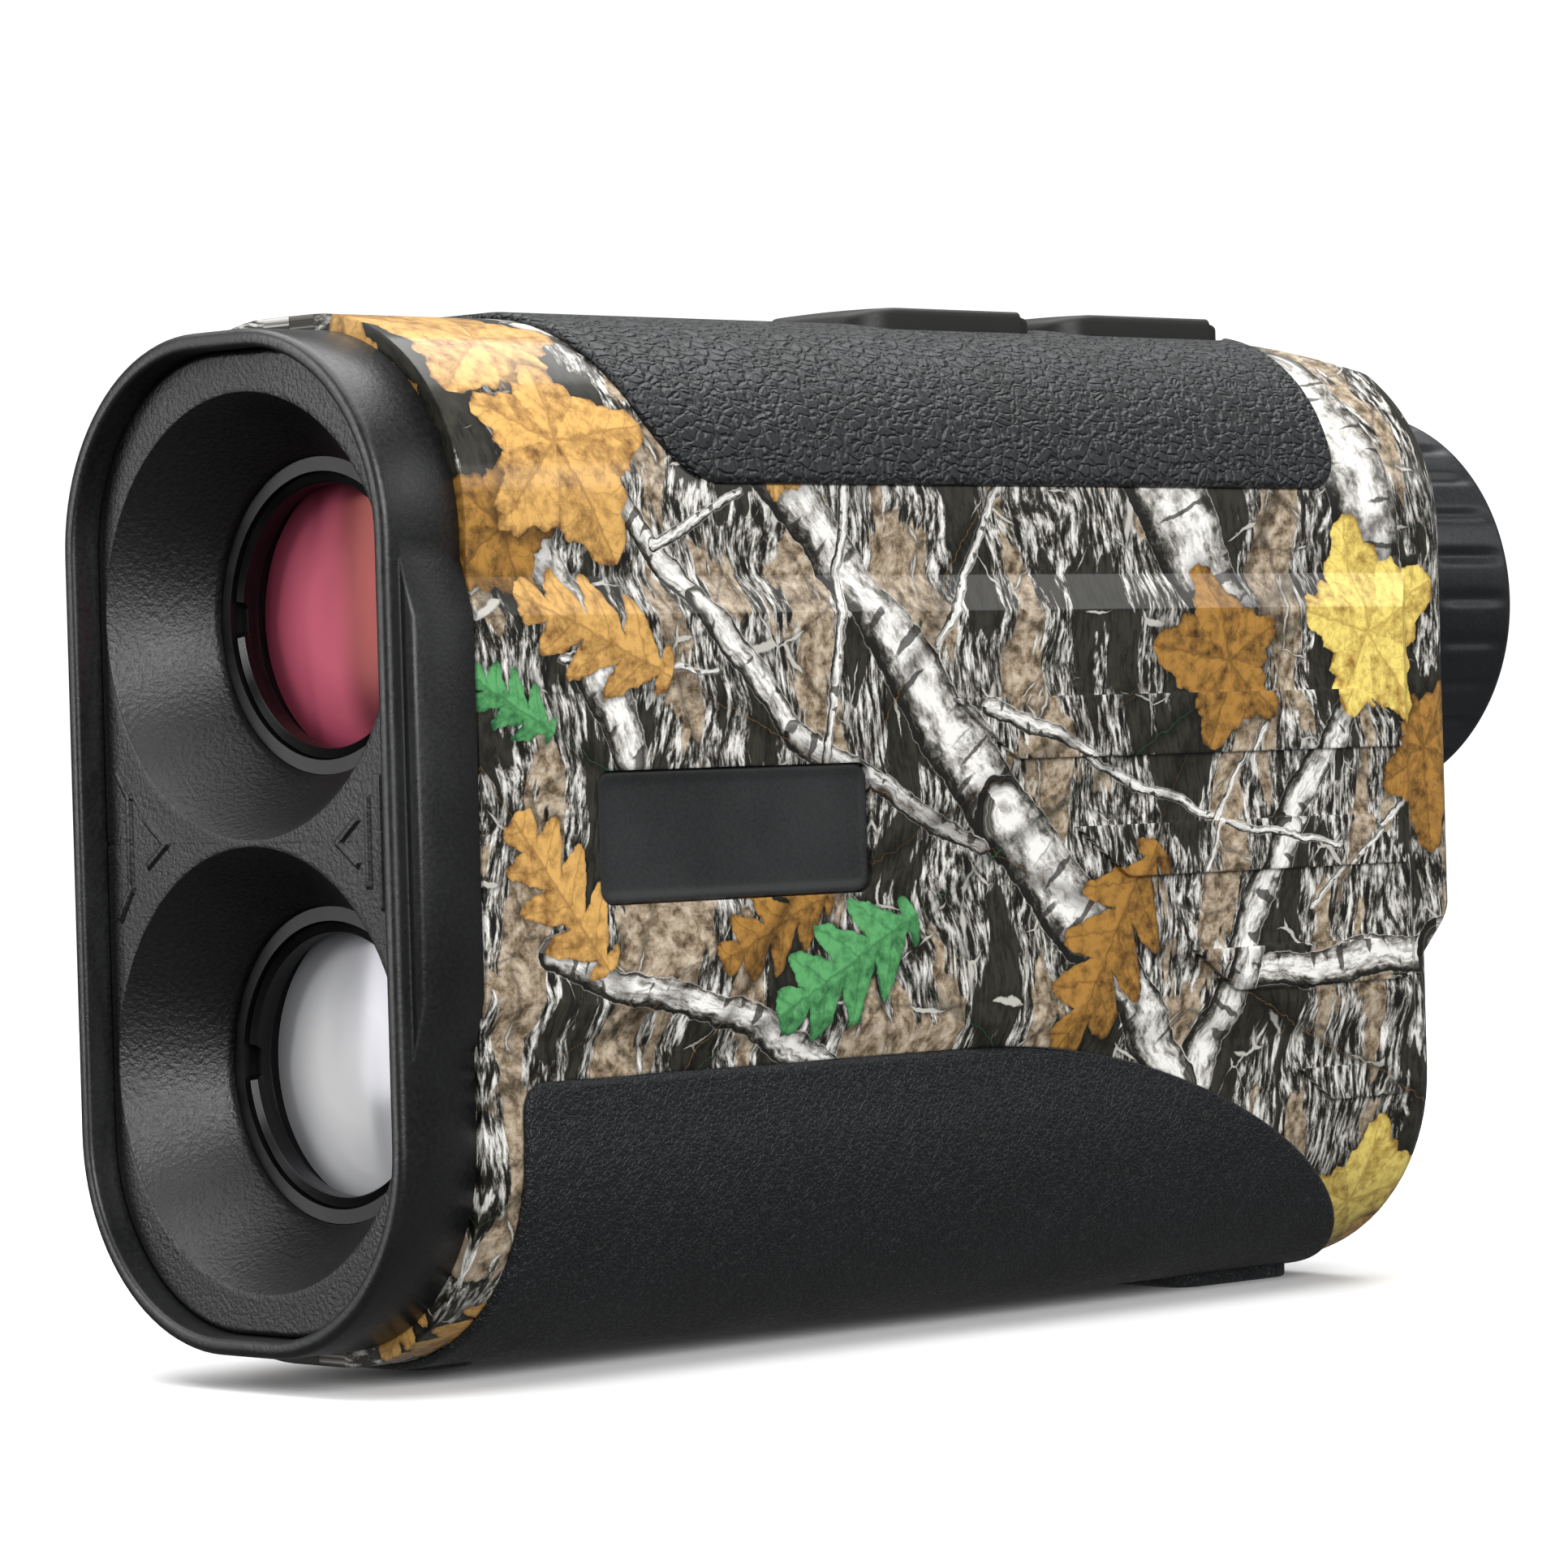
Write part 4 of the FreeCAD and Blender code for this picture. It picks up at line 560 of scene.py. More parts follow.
@dataclass(frozen=True)
class Glass:
    """Polished optical glass under a hard coating that gives it its cast.

    Attributes:
        name: material name.
        middle, edge: cast at the middle and near the rim.
        painted_reflection: colour of soft upright streaks, a painted reflection of the soft boxes.
        side: colour laid on the right rim, a painted reflection of the amber cell behind it.
        clear: how much light passes.
        ior: index of refraction of the glass.
        film: coating thickness in nanometres.
        soft: roughness of the coating.
        coat: how strong the clear top reflection is.
    """

    name: str
    middle: str
    edge: str
    painted_reflection: str
    side: str
    clear: float
    ior: float
    film: float
    soft: float = 0.02
    coat: float = 1.0

    def make(self) -> bpy.types.Material:
        """Makes the material: cast by distance from the axis, painted reflections as streaks and on the right
        rim, thin film.
        """
        material, tree, shader = new_material(self.name)
        at = put(tree, "VectorMath SCALE", put(tree, "TexCoord", out=3), named={"Scale": 1 / MM})
        x, y, z = put(tree, "SeparateXYZ", at, out=None).outputs
        rise = put(tree, "Math ABSOLUTE", put(tree, "Math SUBTRACT", z, float(MIDDLE)))
        rise = put(tree, "Math SUBTRACT", rise, float(OBJECTIVE - MIDDLE))
        away = put(tree, "VectorMath LENGTH", put(tree, "CombineXYZ", x, rise, 0.0), out=1)
        tone = put(tree, "MixRGB", put(tree, "MapRange", away, 4.0, 9.5, 0.0, 1.0), self.middle, self.edge)
        # Painted reflection: soft upright streaks stand in for the soft boxes mirrored in the glass.
        pulled = put(tree, "VectorMath MULTIPLY", at, (0.19, 0.19, 0.035))
        band = put(tree, "TexNoise", pulled, named={"Scale": 1.0, "Detail": 1.0})
        painted_reflection_share = put(tree, "MapRange", band, 0.48, 0.68, 0.0, 0.75, interpolation_type="SMOOTHSTEP")
        tone = put(tree, "MixRGB", painted_reflection_share, tone, self.painted_reflection)
        # Painted reflection: the right rim takes the amber of the cell behind it.
        rim = put(tree, "MapRange", x, 6.9, 7.9, 0.0, 0.9, interpolation_type="SMOOTHSTEP")
        tone = put(tree, "MixRGB", rim, tone, self.side)
        rough = put(tree, "MapRange", band, 0.3, 0.7, self.soft, self.soft + 0.04)
        dress_shader(tree, shader, Base_Color=tone, Roughness=rough, IOR=self.ior,
                     Transmission_Weight=self.clear, Coat_Weight=self.coat,
                     Coat_Roughness=self.soft, Coat_IOR=1.6,
                     Specular_Tint=self.middle, Thin_Film_Thickness=self.film, Thin_Film_IOR=1.38)
        return material


# A share of the layer below too small to see, which makes the renderer work
# the layers of a print out one after the other and so in little memory.
IN_ORDER = (1e-9, 1e-9, 1e-9)


class LeafKind(Enum):
    """Outline of a printed leaf."""

    MAPLE = "maple"
    OAK = "oak"


@dataclass(frozen=True)
class Leaf:
    """A leaf in the print: kind, centre (from front, round), radius, turn, two colours."""

    kind: LeafKind
    centre: tuple[float, float]
    size: float
    turn: float
    light: str
    dark: str


@dataclass(frozen=True)
class Limb:
    """A branch or trunk in the print: two ends (from front, round) and half widths there."""

    start: tuple[float, float]
    end: tuple[float, float]
    wide: float
    narrow: float


@dataclass(frozen=True)
class CamoFilm:
    """ABS under a glossy printed film of a made-up autumn wood.

    Coordinates are millimetres from the front rim, and millimetres round the
    skin from half height.  Bark is noise pulled out along the trunks; limbs are
    distances to lines on a swaying ground; leaves are curves about a centre.
    """

    name: str = "printed film on moulded ABS, high gloss"

    LIMBS = (
        Limb((22, 40), (36, 25), 2.0, 2.0),
        Limb((97, 36), (99, 14), 4.2, 3.6),
        Limb((74, 30), (82, 12), 4.4, 3.4),
        Limb((11, 22), (20, 5), 1.9, 1.5),
        Limb((12, -8), (40, -17), 1.1, 0.9),
        Limb((80, -13), (112, -12), 1.3, 1.7),
        Limb((106, -12), (112, -40), 2.6, 2.2),
        Limb((96, 10), (86, -2), 1.2, 1.5),
        Limb((86, -2), (77, -22), 1.5, 1.9),
        Limb((34, 27), (56, 0), 2.1, 2.7),
        Limb((56, 0), (76, -21), 2.7, 2.2),
        Limb((18, 26), (27, 16), 1.0, 1.2),
        Limb((27, 16), (35, 7), 1.2, 1.1),
        Limb((35, 7), (54, -2), 1.1, 0.6),
        Limb((54, 8), (70, 2), 0.7, 0.4),
        Limb((44, 30), (38, 4), 0.6, 0.4),
        Limb((60, 26), (50, 12), 0.5, 0.35),
        Limb((24, 20), (33, 23), 0.5, 0.3),
        Limb((70, 2), (92, -4), 0.4, 0.25),
        Limb((14, 12), (28, 11), 0.35, 0.2),
        Limb((84, 6), (76, -6), 0.3, 0.2),
        Limb((104, 2), (90, -8), 0.35, 0.2),
    )
    OCHRE = ("#cfa25c", "#6b4722")
    YELLOW = ("#ecd573", "#8d672a")
    BROWN = ("#a47838", "#3b2611")
    GREEN = ("#5a9f63", "#1c4f2c")
    LEAVES = (
        Leaf(LeafKind.MAPLE, (10, 21), 7.0, 3.8, *BROWN),
        Leaf(LeafKind.MAPLE, (15, 37), 10.5, 2.6, *OCHRE),
        Leaf(LeafKind.MAPLE, (16, 27), 10.0, -1.1, *OCHRE),
        Leaf(LeafKind.OAK, (17, 13.5), 7.4, -0.4, *OCHRE),
        Leaf(LeafKind.OAK, (9, 9), 4.4, -0.5, *GREEN),
        Leaf(LeafKind.OAK, (13, -4), 7.0, -0.9, *OCHRE),
        Leaf(LeafKind.OAK, (33, -7), 6.0, 0.4, *BROWN),
        Leaf(LeafKind.OAK, (40, -10), 7.8, 0.45, *GREEN),
        Leaf(LeafKind.OAK, (67, -10), 9.0, 1.0, *BROWN),
        Leaf(LeafKind.MAPLE, (36, 25), 3.2, 0.8, *OCHRE),
        Leaf(LeafKind.MAPLE, (105, 4), 8.5, -1.5, *BROWN),
        Leaf(LeafKind.MAPLE, (81, 11), 8.6, 3.0, *BROWN),
        Leaf(LeafKind.MAPLE, (97, 13), 10.5, 0.4, *YELLOW),
        Leaf(LeafKind.MAPLE, (99, -32), 9.0, 0.3, *YELLOW),
        Leaf(LeafKind.MAPLE, (107, -38), 7.0, -2.6, *OCHRE),
        Leaf(LeafKind.OAK, (10, -36), 5.5, 0.9, *OCHRE),
    )

    def place_group(self) -> bpy.types.NodeTree:
        """Group that gives the place on the film from Object coordinates."""
        tree, _, give = new_group("film place", {}, {"Place": "Vector"})
        at = put(tree, "VectorMath SCALE", put(tree, "TexCoord", out=3), named={"Scale": 1 / MM})
        x, y, z = put(tree, "SeparateXYZ", at, out=None).outputs
        over = put(tree, "Math SUBTRACT", z, float(MIDDLE))
        rise = put(tree, "Math ABSOLUTE", over)
        level = put(tree, "Math MINIMUM", rise, SECTION.straight)
        wide = put(tree, "Math SUBTRACT", put(tree, "Math ABSOLUTE", x), SECTION.flat)
        wide = put(tree, "Math MAXIMUM", wide, 0.0)
        high = put(tree, "Math SUBTRACT", rise, level)
        way = put(tree, "Math MULTIPLY_ADD", put(tree, "Math ARCTAN2", high, wide), SECTION.corner, level)
        way = put(tree, "Math MULTIPLY", way, put(tree, "Math SIGN", over))
        side = put(tree, "Math SIGN", x)
        # Over the end faces the film runs on inwards by the depth below the skin.
        reach = put(tree, "VectorMath LENGTH", put(tree, "CombineXYZ", wide, high, 0.0), out=1)
        inward = put(tree, "Math SUBTRACT", SECTION.corner, reach)
        along = put(tree, "Math MULTIPLY_ADD", put(tree, "Math ADD", y, inward), side, float(-FRONT))
        tree.links.new(put(tree, "CombineXYZ", along, way, 0.0), give.inputs[0])
        return tree

    def limb_group(self) -> bpy.types.NodeTree:
        """Group that lays one limb over those before it.

        The share along the line is (p-a).(b-a)/|b-a|^2 kept in 0 to 1, and the
        distance to that point over the half width there tells how far across.
        """
        takes = {"Place": "Vector", "From": "Vector", "To": "Vector", "Wide": "Float",
                 "Narrow": "Float", "Before": "Vector"}
        tree, take, give = new_group("limb", takes, {"After": "Vector"})
        place, start, end, wide, narrow, before = take[:6]
        place = put(tree, "VectorMath MULTIPLY_ADD", before, IN_ORDER, place)
        to = put(tree, "VectorMath SUBTRACT", place, start)
        line = put(tree, "VectorMath SUBTRACT", end, start)
        share = put(tree, "Math DIVIDE", put(tree, "VectorMath DOT_PRODUCT", to, line, out=1),
                    put(tree, "VectorMath DOT_PRODUCT", line, line, out=1), use_clamp=True)
        nearest = put(tree, "VectorMath SCALE", line, named={"Scale": share})
        off = put(tree, "VectorMath SUBTRACT", to, nearest)
        far = put(tree, "VectorMath LENGTH", off, out=1)
        turn = put(tree, "SeparateXYZ", put(tree, "VectorMath CROSS_PRODUCT", line, to), out=2)
        width = put(tree, "Math MULTIPLY_ADD", share, put(tree, "Math SUBTRACT", narrow, wide), wide)
        across = put(tree, "Math DIVIDE", far, width)
        across = put(tree, "Math MULTIPLY", across, put(tree, "Math SIGN", turn))
        run = put(tree, "Math MULTIPLY", share, put(tree, "VectorMath LENGTH", line, out=1))
        cover = put(tree, "MapRange", put(tree, "Math SUBTRACT", width, far), -0.06, 0.06, 0.0, 1.0)
        new = put(tree, "CombineXYZ", put(tree, "Math MULTIPLY_ADD", wide, 37.0, run), across, 1.0)
        gap = put(tree, "VectorMath SUBTRACT", new, before)
        tree.links.new(put(tree, "VectorMath ADD", before,
                           put(tree, "VectorMath SCALE", gap, named={"Scale": cover})), give.inputs[0])
        return tree

    def leaf_group(self, kind: LeafKind) -> bpy.types.NodeTree:
        """Group that lays one leaf over the colour below it.

        A maple's edge is r = (0.98 - 0.36 |s|)(0.84 + 0.16 cos t), s being sin 2.5t,
        with 20 small teeth.  An oak's half width is 0.5 sqrt(1 - x^2) times a
        row of lobes |sin| that lean forwards.

        Args:
            kind: which outline.

        Returns:
            The group.
        """
        takes = {"Below": "Color", "Place": "Vector", "Mottle": "Float", "Centre": "Vector",
                 "Size": "Float", "Turn": "Float", "Light": "Color", "Dark": "Color"}
        tree, take, give = new_group(f"{kind.value} leaf", takes, {"Colour": "Color"})
        below, place, mottle, centre, size, turn, light, dark = take[:8]
        place = put(tree, "VectorMath MULTIPLY_ADD", below, IN_ORDER, place)
        gap = put(tree, "VectorMath SUBTRACT", place, centre)
        scaled = put(tree, "VectorMath SCALE", gap, named={"Scale": put(tree, "Math DIVIDE", 1.0, size)})
        own = put(tree, "VectorRotate", scaled, named={"Angle": turn}, rotation_type="Z_AXIS", invert=True)
        x, y, _ = put(tree, "SeparateXYZ", own, out=None).outputs
        if kind is LeafKind.MAPLE:
            angle = put(tree, "Math ARCTAN2", y, x)
            radius = put(tree, "VectorMath LENGTH", own, out=1)
            half = put(tree, "Math ABSOLUTE", put(tree, "Math SINE", put(tree, "Math MULTIPLY", angle, 2.5)))
            lobe = put(tree, "Math MULTIPLY_ADD", half, -0.36, 0.98)
            lean = put(tree, "Math MULTIPLY_ADD", put(tree, "Math COSINE", angle), 0.16, 0.84)
            edge = put(tree, "Math MULTIPLY", lobe, lean)
            teeth = put(tree, "Math PINGPONG", put(tree, "Math MULTIPLY", angle, 20 / float(np.pi)), 1.0)
            edge = put(tree, "Math MULTIPLY_ADD", teeth, 0.07, edge)
            inside = put(tree, "Math SUBTRACT", edge, radius)
            rib = put(tree, "Math MULTIPLY", put(tree, "Math MULTIPLY", half, radius), 0.4)
            fold = put(tree, "Math SIGN", put(tree, "Math SINE", put(tree, "Math MULTIPLY", angle, 5.0)))
            cross = put(tree, "Math MULTIPLY_ADD", radius, 18.0, put(tree, "Math MULTIPLY", half, -5.0))
        else:
            high = put(tree, "Math ABSOLUTE", y)
            slant = put(tree, "Math MULTIPLY_ADD", high, 0.7, x)
            lobe = put(tree, "Math SINE", put(tree, "Math MULTIPLY_ADD", slant, 6.6, 0.5))
            lobe = put(tree, "Math ABSOLUTE", lobe)
            room = put(tree, "Math MULTIPLY_ADD", put(tree, "Math MULTIPLY", x, x), -1.0, 1.0)
            room = put(tree, "Math SQRT", put(tree, "Math MAXIMUM", room, 0.0))
            edge = put(tree, "Math MULTIPLY", put(tree, "Math MULTIPLY_ADD", lobe, 0.4, 0.14), room)
            inside = put(tree, "Math SUBTRACT", edge, high)
            rib = high
            fold = put(tree, "Math SIGN", y)
            cross = put(tree, "Math MULTIPLY_ADD", slant, 6.6, 2.07)
        depth = put(tree, "Math MULTIPLY", inside, size)
        cover = put(tree, "MapRange", depth, -0.05, 0.07, 0.0, 1.0)
        shadow = put(tree, "MapRange", depth, -1.1, 0.1, 1.0, 0.35)
        shadow = put(tree, "CombineXYZ", shadow, shadow, shadow)
        shaded = put(tree, "MixRGB", 1.0, below, shadow, blend_type="MULTIPLY")
        tone = put(tree, "Math MULTIPLY_ADD", fold, 0.1, put(tree, "Math MULTIPLY_ADD", mottle, 1.9, -0.42))
        tone = put(tree, "Math MULTIPLY_ADD", put(tree, "MapRange", depth, 0.0, 0.5, 0.0, 1.0), 0.28, tone)
        body = put(tree, "MixRGB", put(tree, "MapRange", tone, 0.35, 1.0, 0.0, 1.0), dark, light)
        vein = put(tree, "MapRange", put(tree, "Math MULTIPLY", rib, size), 0.05, 0.16, 0.75, 0.0)
        body = put(tree, "MixRGB", vein, body, put(tree, "MixRGB", 0.35, dark, light))
        fine = put(tree, "Math ABSOLUTE", put(tree, "Math SINE", cross))
        fine = put(tree, "MapRange", fine, 0.0, 0.14, 0.45, 0.0)
        body = put(tree, "MixRGB", fine, body, dark)
        tree.links.new(put(tree, "MixRGB", cover, shaded, body), give.inputs[0])
        return tree

    def make(self) -> bpy.types.Material:
        """Makes the material: bark, gaps and tan scars, then twigs, limbs and leaves, then gloss."""
        material, tree, shader = new_material(self.name)
        place = put(tree, "Group", node_tree=self.place_group())
        sway = put(tree, "TexNoise", place, named={"Scale": 1 / 14, "Detail": 2.0}, out=1)
        sway = put(tree, "VectorMath SUBTRACT", sway, (0.5, 0.5, 0.5))
        ragged = put(tree, "TexNoise", place, named={"Scale": 0.9, "Detail": 3.0}, out=1)
        ragged = put(tree, "VectorMath SUBTRACT", ragged, (0.5, 0.5, 0.5))
        slow = put(tree, "VectorMath MULTIPLY_ADD", sway, (7.0, 5.0, 0.0), place)
        bent = put(tree, "VectorMath MULTIPLY_ADD", sway, (4.0, 4.0, 0.0), place)
        bent = put(tree, "VectorMath MULTIPLY_ADD", ragged, (0.7, 0.7, 0.0), bent)
        # Standing bark: ridges about 0.6 mm apart and four times as long.
        tall = put(tree, "VectorMath MULTIPLY", slow, (1.0, 0.24, 1.0))
        bark = put(tree, "TexNoise", tall, named={
            "Scale": 1.7, "Detail": 8.0, "Roughness": 0.72, "Distortion": 0.15})
        grey = put(tree, "ValToRGB", bark, ramp=(
            (0.41, "#100f0c"), (0.47, "#2a2822"), (0.51, "#77746d"), (0.56, "#c3c1bb"), (0.66, "#f0eeea")))
        patch = put(tree, "VectorMath MULTIPLY", slow, (1.0, 0.32, 1.0))
        zone = put(tree, "TexNoise", patch, named={"Scale": 0.14, "Detail": 4.0, "Roughness": 0.55})
        spot = put(tree, "TexNoise", bent, named={"Scale": 0.8, "Detail": 6.0, "Roughness": 0.7})
        tan = put(tree, "ValToRGB", spot, ramp=(
            (0.36, "#453a2c"), (0.45, "#7a6a55"), (0.54, "#a3937e"), (0.66, "#c4b7a4")))
        gap = put(tree, "ValToRGB", bark, ramp=((0.42, "#1a1914"), (0.5, "#2a2922"), (0.72, "#38372d")))
        tan_here = put(tree, "MapRange", zone, 0.552, 0.562, 0.0, 1.0)
        gap_here = put(tree, "MapRange", zone, 0.452, 0.46, 1.0, 0.0)
        ground = put(tree, "MixRGB", gap_here, put(tree, "MixRGB", tan_here, grey, tan), gap)
        # Thin twigs: cell edges, broken up, 0.1 to 0.2 mm wide.
        net = put(tree, "TexVoronoi", bent, named={"Scale": 0.17}, feature="DISTANCE_TO_EDGE")
        broken = put(tree, "TexNoise", place, named={"Scale": 0.2, "Detail": 2.0})
        width = put(tree, "MapRange", broken, 0.5, 0.64, -0.012, 0.02)
        twig = put(tree, "MapRange", put(tree, "Math SUBTRACT", width, net), -0.006, 0.004, 0.0, 1.0)
        halo = put(tree, "MapRange", put(tree, "Math SUBTRACT", width, net), -0.05, 0.0, 0.0, 0.7)
        ground = put(tree, "MixRGB", halo, ground, "#1b1a15")
        ground = put(tree, "MixRGB", twig, ground, "#b4b1a9")
        chain = None
        group = self.limb_group()
        for limb in self.LIMBS:
            chain = put(tree, "Group", bent, node_tree=group, named={
                "From": (*limb.start, 0.0), "To": (*limb.end, 0.0), "Wide": limb.wide,
                "Narrow": limb.narrow, "Before": chain if chain else (0.0, 0.0, 0.0)})
        run, across, cover = put(tree, "SeparateXYZ", chain, out=None).outputs
        skin = put(tree, "CombineXYZ", put(tree, "Math MULTIPLY", run, 0.55),
                   put(tree, "Math MULTIPLY", across, 2.6), 0.0)
        grain = put(tree, "TexNoise", skin, named={"Scale": 1.0, "Detail": 7.0, "Roughness": 0.7})
        lit = put(tree, "Math MULTIPLY", put(tree, "Math MULTIPLY", across, across), -0.34)
        lit = put(tree, "Math ADD", put(tree, "Math MULTIPLY_ADD", across, 0.1, 0.1), lit)
        wood = put(tree, "ValToRGB", put(tree, "Math ADD", grain, lit), ramp=(
            (0.31, "#171612"), (0.41, "#56544e"), (0.5, "#a19e98"), (0.63, "#e9e7e3")))
        ring = put(tree, "CombineXYZ", put(tree, "Math MULTIPLY", run, 0.9),
                   put(tree, "Math MULTIPLY", across, 0.35), 5.0)
        ring = put(tree, "TexNoise", ring, named={"Detail": 1.0, "Scale": 1.0})
        ringed = put(tree, "MapRange", ring, 0.6, 0.63, 0.0, 0.85)
        wood = put(tree, "MixRGB", ringed, wood, "#26231e")
        colour = put(tree, "MixRGB", cover, ground, wood)
        mottle = put(tree, "TexNoise", place, named={"Scale": 0.9, "Detail": 6.0, "Roughness": 0.65})
        leaf_place = put(tree, "VectorMath MULTIPLY_ADD", ragged, (0.9, 0.9, 0.0), place)
        groups = {kind: self.leaf_group(kind) for kind in LeafKind}
        for leaf in self.LEAVES:
            colour = put(tree, "Group", colour, leaf_place, mottle, node_tree=groups[leaf.kind], named={
                "Centre": (*leaf.centre, 0.0), "Size": leaf.size, "Turn": leaf.turn,
                "Light": leaf.light, "Dark": leaf.dark})
        peel = put(tree, "TexNoise", place, named={"Scale": 0.5, "Detail": 1.0})
        rough = put(tree, "MapRange", bark, 0.35, 0.65, 0.42, 0.54)
        soft = put(tree, "Bevel", named={"Radius": 0.3 * MM}, samples=4)
        bump = put(tree, "Bump", named={"Distance": 0.012 * MM, "Height": peel, "Normal": soft})
        dress_shader(tree, shader, Base_Color=colour, Roughness=rough, Normal=bump, IOR=1.5,
                     Specular_IOR_Level=0.2, Coat_Weight=0.4, Coat_Roughness=0.12, Coat_IOR=1.45)
        return material


@dataclass(frozen=True)
class Finishes:
    """Every finish on the rangefinder, made once."""

    # Nose and face plate: black ABS from a spark-eroded mould, satin with a fine glitter of grain.
    nose = Moulded("moulded black ABS, spark-eroded grain", "#0c0c0d", "#161718", 0.36, 0.35, 0.025, 0.25)
    plate = Moulded("moulded black ABS, coarse sand grain", "#060606", "#101011", 0.4, 0.35, 0.08, 0.15)
    badge = Moulded("moulded grey-black ABS, satin", "#1c1d1e", "#252627", 0.45, 0.25, 0.008, 0.15)
    inner = Moulded("moulded glass-filled nylon, plain", "#0e0e10", "#1a1b1d", 0.55)
    cap = Moulded("moulded black nylon, fine grain", "#141517", "#212327", 0.48, 0.3, 0.015, 0.2)
    button = Moulded("moulded silicone rubber, satin", "#0c0d0b", "#171815", 0.5, 0.3, 0.012, 0.25, 1.43)
    cup = Moulded("moulded rubber, satin bloom", "#0c0e11", "#16191d", 0.42, 0.3, 0.012, 0.2, 1.48)
    seal = Moulded("moulded nitrile rubber", "#121213", "#1e1e20", 0.6)
    jacket = Moulded("printed PVC sleeve, plain", "#1d3550", "#2f5277", 0.35, 2.0, 0.01)
    board = Moulded("solder mask over glass epoxy", "#0f4a24", "#1f6b36", 0.35, 1.2, 0.03)
    chip = Moulded("moulded epoxy, chip package", "#101112", "#1e1f20", 0.5)
    # Grips: soft rubber over the shells, coarser wrinkles on the top one.
    top_grip = Leathery("overmoulded rubber, leather grain", "#08090b", "#14171a", 0.8, 0.2, 0.42)
    low_grip = Leathery("overmoulded rubber, fine leather grain", "#0a0b0d", "#14171a", 0.5, 0.08, 0.5, 1.2)
    anodised = Metal("black anodised aluminium, turned", "#070708", "#151517", 0.32, 0.4)
    steel = Metal("stainless steel, drawn", "#8d8f92", "#c4c6c8", 0.28)
    clear = Glass("polished optical glass, clear coating",
                  "#f2f4f6", "#b9bec4", "#dfe3e8", "#c9ced4", 0.9, 1.52, 110)
    front = Glass("polished receiver glass, bright coating",
                  "#f4f4f5", "#bdbec1", "#a9abb0", "#a7a196", 0.1, 1.6, 120, 0.16)
    ruby = Glass("polished objective glass, red coating",
                 "#de6f86", "#a0435a", "#3a1420", "#a86f22", 0.1, 1.6, 260, 0.2, 0.15)
    film = CamoFilm()

    def made(self) -> dict[str, bpy.types.Material]:
        """Makes every finish and returns them by short name."""
        kinds = (Moulded, Leathery, Metal, Glass, CamoFilm)
        return {key: finish.make() for key, finish in vars(type(self)).items() if isinstance(finish, kinds)}


def settle(piece: bpy.types.Object, material: bpy.types.Material, *nodes: str, rides: str = "") -> None:
    """Gives a new piece its finish, its body and the CAD nodes it stands for.

    Args:
        piece: the new piece.
        material: its finish.
        nodes: CAD nodes that it replaces; the first gives the body.
        rides: CAD node that gives the body where it replaces none.
    """
    piece.data.materials.append(material)
    guide = frame["nodes"][(nodes or (rides,))[0]]
    if nodes:
        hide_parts(*nodes)
    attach(piece, guide["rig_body"])


